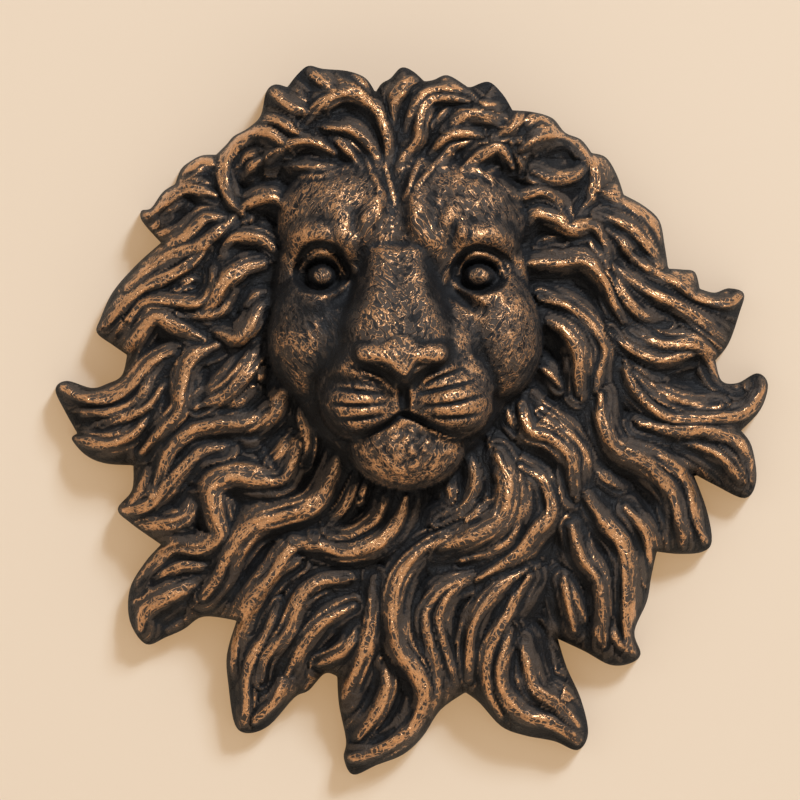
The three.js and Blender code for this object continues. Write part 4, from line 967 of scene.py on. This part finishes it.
class Nodes:
    """Adds shader nodes to a tree and links them; a plain number or colour stays on the socket."""

    def __init__(self, tree):
        self.tree = tree

    def feed(self, socket, value):
        if isinstance(value, bpy.types.NodeSocket):
            self.tree.links.new(value, socket)
        elif socket.type == "RGBA" and len(value) == 3:
            socket.default_value = (*value, 1)
        else:
            socket.default_value = value

    def add(self, kind, inputs=(), **settings):
        node = self.tree.nodes.new(kind)
        for name, value in settings.items():
            setattr(node, name, value)
        for name, value in dict(inputs).items():
            self.feed(node.inputs[name], value)
        return node

    def math(self, operation, a, b=0.0, clamp=False):
        node = self.add("ShaderNodeMath", {0: a, 1: b}, operation=operation, use_clamp=clamp)
        return node.outputs[0]

    def plus(self, *terms):
        total = terms[0]
        for term in terms[1:]:
            total = self.math("ADD", total, term)
        return total

    def times(self, a, b):
        return self.math("MULTIPLY", a, b)

    def band(self, value, low, high):
        """Smooth step from 0 at low to 1 at high."""
        node = self.add("ShaderNodeMapRange", {"Value": value, "From Min": low, "From Max": high},
                        interpolation_type="SMOOTHSTEP")
        return node.outputs["Result"]

    def mix(self, share, a, b):
        node = self.add("ShaderNodeMix", data_type="RGBA")
        self.feed(node.inputs["Factor"], share)
        self.feed([s for s in node.inputs if s.name == "A" and s.type == "RGBA"][0], a)
        self.feed([s for s in node.inputs if s.name == "B" and s.type == "RGBA"][0], b)
        return [s for s in node.outputs if s.type == "RGBA"][0]

    def blend_values(self, share, a, b):
        return self.add("ShaderNodeMix", {"Factor": share, "A": a, "B": b}).outputs["Result"]

    def noise(self, vector, scale, detail=2.0, roughness=0.5, distortion=0.0):
        node = self.add("ShaderNodeTexNoise", {
            "Vector": vector, "Scale": scale, "Detail": detail, "Roughness": roughness,
            "Distortion": distortion})
        return node.outputs["Fac"]

    def ridge(self, value, sharpness):
        """1 where a noise crosses its middle, falling off on both sides: thin curly lines."""
        away = self.math("ABSOLUTE", self.math("SUBTRACT", value, 0.5))
        return self.math("SUBTRACT", 1.0, self.times(away, sharpness), clamp=True)

    def attribute(self, name):
        return self.add("ShaderNodeAttribute", attribute_name=name).outputs["Fac"]

    def vector(self, x, y, z):
        return self.add("ShaderNodeCombineXYZ", {0: x, 1: y, 2: z}).outputs[0]


def new_group(name, inputs, outputs):
    """Empty node group with named sockets, and the helper that fills it."""
    group = bpy.data.node_groups.new(name, "ShaderNodeTree")
    kinds = {"value": "NodeSocketFloat", "colour": "NodeSocketColor", "vector": "NodeSocketVector"}
    for label, kind in inputs.items():
        group.interface.new_socket(name=label, in_out="INPUT", socket_type=kinds[kind])
    for label, kind in outputs.items():
        group.interface.new_socket(name=label, in_out="OUTPUT", socket_type=kinds[kind])
    nodes = Nodes(group)
    return group, nodes, nodes.add("NodeGroupInput").outputs, nodes.add("NodeGroupOutput").inputs


def speckle_group():
    """Pits, specks and the curly net of thin copper lines that rubbing leaves on a casting."""
    group, n, given, out = new_group(
        "casting_specks", {"Vector": "vector"},
        {"Specks": "value", "Pits": "value", "Net": "value", "Clouds": "value"})
    n.feed(out["Specks"], n.noise(given["Vector"], 700, 3, 0.6, 0.4))
    pits = n.noise(given["Vector"], 480, 2, 0.5, 0.8)
    n.feed(out["Pits"], n.band(pits, 0.36, 0.5))
    curls = n.ridge(n.noise(given["Vector"], 150, 0.6, 0.5, 1.6), 9.0)
    bend = n.add("ShaderNodeTexNoise", {"Vector": given["Vector"], "Scale": 150, "Detail": 1.0})
    bent = n.add("ShaderNodeVectorMath", {0: bend.outputs["Color"], 1: (0.006, 0.006, 0.006),
                                          2: given["Vector"]}, operation="MULTIPLY_ADD")
    cells = n.add("ShaderNodeTexVoronoi", {"Vector": bent.outputs[0], "Scale": 140},
                  feature="DISTANCE_TO_EDGE")
    cracks = n.math("SUBTRACT", 0.95, n.times(cells.outputs["Distance"], 8.0), clamp=True)
    n.feed(out["Net"], n.math("MAXIMUM", curls, cracks))
    n.feed(out["Clouds"], n.noise(given["Vector"], 60, 2, 0.5))
    return group


def fur_group():
    """Short strokes of the fur on the face, leaning one way or the other."""
    group, n, given, out = new_group("fur_strokes", {"Vector": "vector", "Lean": "value"},
                                     {"Lines": "value", "Ridges": "value"})
    sides = []
    for turn in (-0.6, 0.6):
        mapping = n.add("ShaderNodeMapping", {
            "Vector": given["Vector"], "Rotation": (0, turn, 0), "Scale": (0.0027, 0.0027, 0.0105)},
            vector_type="TEXTURE")
        sides.append(n.noise(mapping.outputs[0], 1.0, 0.8, 0.5, 1.0))
    share = n.plus(0.5, n.times(given["Lean"], 0.5))
    lines = n.blend_values(share, sides[0], sides[1])
    n.feed(out["Lines"], lines)
    n.feed(out["Ridges"], n.ridge(lines, 8.0))
    return group


def strand_group():
    """Fine lines that follow the hair, from its own lengths along and across."""
    group, n, given, out = new_group(
        "hair_lines", {"Along": "value", "Across": "value", "Strand": "value", "Length": "value",
                       "Width": "value"}, {"Lines": "value", "Ridges": "value"})
    vector = n.vector(n.math("DIVIDE", given["Along"], given["Length"]),
                      n.math("DIVIDE", given["Across"], given["Width"]), n.times(given["Strand"], 7.3))
    lines = n.noise(vector, 1.0, 1.2, 0.55, 0.35)
    n.feed(out["Lines"], lines)
    n.feed(out["Ridges"], n.ridge(lines, 8.0))
    return group


def patina_group():
    """Dark patina, brown film and bare copper laid over one another by two shares."""
    group, n, given, out = new_group(
        "patina_layers",
        {"Copper": "colour", "Film": "colour", "Patina": "colour", "Bare": "value", "Thin": "value",
         "Tone": "value", "Polish": "value"},
        {"Colour": "colour", "Roughness": "value", "Metallic": "value"})
    dark = n.mix(given["Tone"], given["Patina"], (0.015, 0.017, 0.0205))
    filmed = n.mix(given["Thin"], dark, given["Film"])
    dull = n.mix(0.72, given["Copper"], given["Film"])
    metal = n.mix(given["Polish"], dull, given["Copper"])
    n.feed(out["Colour"], n.mix(given["Bare"], filmed, metal))
    rough = n.math("SUBTRACT", 0.54, n.times(given["Bare"], 0.12))
    n.feed(out["Roughness"], n.math("SUBTRACT", rough, n.times(given["Polish"], 0.17)))
    n.feed(out["Metallic"], n.plus(n.times(given["Bare"], 0.8), n.times(given["Thin"], 0.05)))
    return group


def use_group(n, group, inputs):
    node = n.add("ShaderNodeGroup", node_tree=group)
    for name, value in inputs.items():
        n.feed(node.inputs[name], value)
    return node.outputs


def lay_patina(n, group, settings, shares):
    """The patina's layers in the planter's own colours."""
    colours = {"Copper": settings.copper, "Film": settings.film, "Patina": settings.patina}
    return use_group(n, group, {**{name: (*colour, 1) for name, colour in colours.items()}, **shares})


def new_material(name):
    material = bpy.data.materials.new(name)
    material.use_nodes = True
    material.node_tree.nodes.clear()
    n = Nodes(material.node_tree)
    shader = n.add("ShaderNodeBsdfPrincipled")
    n.add("ShaderNodeOutputMaterial", {"Surface": shader.outputs[0]})
    return material, n, shader


def rubbed_bronze(settings, groups):
    """Front of the mask: dark patina rubbed back to copper on the crests and the fur."""
    material, n, shader = new_material("rubbed_bronze_front")
    place = n.add("ShaderNodeTexCoord").outputs["Object"]
    # The wear attribute brings the rubbed copper and its painted shades
    wear, hollow, face = n.attribute("wear"), n.attribute("hollow"), n.attribute("face")
    specks = use_group(n, groups["specks"], {"Vector": place})
    lines = use_group(n, groups["lines"], {
        "Along": n.attribute("along"), "Across": n.attribute("across"),
        "Strand": n.attribute("strand"), "Length": 15.0, "Width": 2.8})
    strokes = use_group(n, groups["fur"], {"Vector": place, "Lean": n.attribute("lean")})
    grain = n.blend_values(face, lines["Lines"], strokes["Lines"])
    ridges = n.blend_values(face, lines["Ridges"], strokes["Ridges"])
    curly = n.math("SUBTRACT", 0.95, n.times(n.attribute("strokes"), 0.55))
    net = n.math("MAXIMUM", n.times(specks["Net"], curly), ridges)
    speck = n.math("SUBTRACT", specks["Specks"], 0.5)
    cloud = n.math("SUBTRACT", specks["Clouds"], 0.5)
    worn = n.plus(wear, n.times(cloud, 0.4), n.times(speck, 0.25), settings.wear - 0.5,
                  n.times(hollow, -0.4))
    shown = n.plus(n.times(net, 0.75), worn)
    share = n.times(n.band(shown, 0.98, 1.14), n.plus(0.7, n.times(specks["Pits"], 0.3)))
    streak = n.times(n.math("SUBTRACT", grain, 0.5), 0.9)
    thin = n.band(n.plus(worn, n.times(net, 0.15), streak, n.times(face, -0.26)), -0.02, 0.34)
    rubbed = n.plus(worn, n.times(speck, 0.9), n.times(cloud, 0.5), n.times(net, 0.45))
    polish = n.band(rubbed, 0.55, 1.15)
    layers = lay_patina(n, groups["patina"], settings, {
        "Bare": share, "Thin": thin, "Tone": n.band(specks["Clouds"], 0.3, 0.7), "Polish": polish})
    n.feed(shader.inputs["Base Color"], layers["Colour"])
    n.feed(shader.inputs["Roughness"], layers["Roughness"])
    n.feed(shader.inputs["Metallic"], layers["Metallic"])
    shader.inputs["Specular IOR Level"].default_value = 0.15
    relief = n.plus(n.times(grain, 0.8), n.times(specks["Pits"], 0.35),
                    n.times(specks["Specks"], 0.35), n.times(net, 0.5))
    bump = n.add("ShaderNodeBump", {"Height": relief, "Strength": 0.8, "Distance": 0.0007})
    n.feed(shader.inputs["Normal"], bump.outputs["Normal"])
    return material


def cast_back(settings, groups):
    """Flat back, pocket and keyholes: plain dark casting, dull and a little uneven."""
    material, n, shader = new_material("dark_casting_back")
    place = n.add("ShaderNodeTexCoord").outputs["Object"]
    specks = use_group(n, groups["specks"], {"Vector": place})
    layers = lay_patina(n, groups["patina"], settings, {
        "Bare": n.times(n.band(specks["Specks"], 0.62, 0.8), 0.2),
        "Thin": n.times(n.band(specks["Clouds"], 0.4, 0.75), 0.45),
        "Tone": specks["Clouds"], "Polish": specks["Clouds"]})
    n.feed(shader.inputs["Base Color"], layers["Colour"])
    n.feed(shader.inputs["Roughness"], n.plus(layers["Roughness"], 0.12))
    n.feed(shader.inputs["Metallic"], layers["Metallic"])
    bump = n.add("ShaderNodeBump", {"Height": specks["Pits"], "Strength": 0.4, "Distance": 0.0006})
    n.feed(shader.inputs["Normal"], bump.outputs["Normal"])
    return material


def stage_material(name, colour):
    """Pale matte surface with a painted warm glow that lightens the shadows on it, clear from behind
    so that it hides nothing in other views.
    """
    material, n, shader = new_material(name)
    shader.inputs["Base Color"].default_value = (*colour, 1)
    shader.inputs["Roughness"].default_value = 0.9
    # Painted light: a warm glow in the backdrop and floor that lightens and warms the shadows falling
    # on them
    shader.inputs["Emission Color"].default_value = (1, 0.53, 0.18, 1)
    shader.inputs["Emission Strength"].default_value = 0.325
    clear = n.add("ShaderNodeBsdfTransparent")
    behind = n.add("ShaderNodeNewGeometry").outputs["Backfacing"]
    # A ray that starts closer than this, on the flat back, goes through as well
    touching = n.math("LESS_THAN", n.add("ShaderNodeLightPath").outputs["Ray Length"], 0.006)
    behind = n.math("MAXIMUM", behind, touching)
    both = n.add("ShaderNodeMixShader", {0: behind, 1: shader.outputs[0], 2: clear.outputs[0]})
    output = next(node for node in material.node_tree.nodes if node.type == "OUTPUT_MATERIAL")
    n.feed(output.inputs["Surface"], both.outputs[0])
    return material


class PLANTER_OT_mask(bpy.types.Operator):
    """Carves the lion mask and finishes it in rubbed bronze"""

    bl_idname = "planter.mask"
    bl_label = "Lion mask"

    def execute(self, context):
        settings = context.scene.lion_planter
        groups = {"specks": speckle_group(), "fur": fur_group(), "lines": strand_group(),
                  "patina": patina_group()}
        front = rubbed_bronze(settings, groups)
        back = cast_back(settings, groups)
        mask = object_from(carved_front(settings), "lion_mask_carving", [front, back])
        for number, cutter in enumerate(cutters()):
            cut_away(mask, object_from(cutter, f"cutter_{number}", [back]))
        for face in mask.data.polygons:
            flat = face.material_index == 1 and abs(face.normal.y) > 0.999
            face.use_smooth = not flat
        # Dents and hair stay within the solid's box
        points = np.empty(len(mask.data.vertices) * 3)
        mask.data.vertices.foreach_get("co", points)
        points = np.clip(points.reshape(-1, 3), CAD_LOW, CAD_HIGH)
        mask.data.vertices.foreach_set("co", points.ravel())
        mask.data.update()
        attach(mask, "root")
        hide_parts(CAD_NODE)
        return {"FINISHED"}


def backdrop_sheet():
    """Upright sheet just behind the mask."""
    bm = bmesh.new()
    bmesh.ops.create_grid(bm, x_segments=1, y_segments=1, size=4200, matrix=UPRIGHT)
    bmesh.ops.translate(bm, vec=(0, 0.4, 0), verts=bm.verts)
    return bm


def floor_sheet():
    bm = bmesh.new()
    bmesh.ops.create_grid(bm, x_segments=1, y_segments=1, size=4200)
    bmesh.ops.translate(bm, vec=(0, 0, -1100), verts=bm.verts)
    return bm


def add_area_light(name, place, target, size, watts, colour):
    light = bpy.data.lights.new(name, "AREA")
    light.shape = "DISK"
    light.size = size
    light.energy = watts
    light.color = colour
    made = bpy.data.objects.new(name, light)
    made.location = place
    made.rotation_euler = (Vector(target) - Vector(place)).to_track_quat("-Z", "Y").to_euler()
    bpy.context.scene.collection.objects.link(made)


def add_camera():
    """Camera straight in front, where the mask's own sides draw in to."""
    camera = bpy.data.cameras.new("camera")
    camera.sensor_width = SENSOR_WIDTH
    camera.lens = SENSOR_WIDTH * DRAW_FAR / VIEW_WIDTH
    made = bpy.data.objects.new("camera", camera)
    made.location = (DRAW_X * MM, -DRAW_FAR * MM, DRAW_Z * MM)
    made.rotation_euler = (math.pi / 2, 0, 0)
    bpy.context.scene.collection.objects.link(made)
    bpy.context.scene.camera = made


class PLANTER_OT_stage(bpy.types.Operator):
    """Sets up the pale backdrop and floor, the studio light and the camera"""

    bl_idname = "planter.stage"
    bl_label = "Stage"

    def execute(self, context):
        settings = context.scene.lion_planter
        material = stage_material("pale_stage", settings.backdrop)
        sheet = object_from(backdrop_sheet(), "backdrop", [material])
        floor = object_from(floor_sheet(), "floor", [material])
        add_area_light("key", (3.2, -5.4, 4.8), (0, 0, 0), 2.2, 405, (1, 1, 1.01))
        add_area_light("fill", (-1.6, -1.8, 0.6), (0, 0, 0), 1.2, 2.5, (1, 0.94, 0.86))
        add_area_light("glint", (1.5, -3, 2.4), (0, 0, 0), 0.24, 30, (1, 0.98, 0.95))
        world = bpy.data.worlds.new("studio")
        world.use_nodes = True
        world.node_tree.nodes["Background"].inputs["Color"].default_value = (1, 0.88, 0.77, 1)
        world.node_tree.nodes["Background"].inputs["Strength"].default_value = 0.5
        context.scene.world = world
        context.scene.view_settings.view_transform = "Standard"
        add_camera()
        return {"FINISHED"}


class PLANTER_PT_panel(bpy.types.Panel):
    """Sizes, colours and steps of the planter"""

    bl_label = "Lion head wall planter"
    bl_idname = "PLANTER_PT_panel"
    bl_space_type = "VIEW_3D"
    bl_region_type = "UI"
    bl_category = "Planter"

    def draw(self, context):
        settings = context.scene.lion_planter
        for name in PlanterSettings.__annotations__:
            self.layout.prop(settings, name)
        self.layout.operator(PLANTER_OT_mask.bl_idname)
        self.layout.operator(PLANTER_OT_stage.bl_idname)


CLASSES = (PlanterSettings, PLANTER_OT_mask, PLANTER_OT_stage, PLANTER_PT_panel)


def register():
    for cls in CLASSES:
        bpy.utils.register_class(cls)
    bpy.types.Scene.lion_planter = PointerProperty(type=PlanterSettings)


def unregister():
    del bpy.types.Scene.lion_planter
    for cls in reversed(CLASSES):
        bpy.utils.unregister_class(cls)


def main():
    register()
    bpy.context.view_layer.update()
    bpy.ops.planter.mask()
    bpy.ops.planter.stage()
    bpy.context.view_layer.update()


if __name__ == "__main__":
    main()
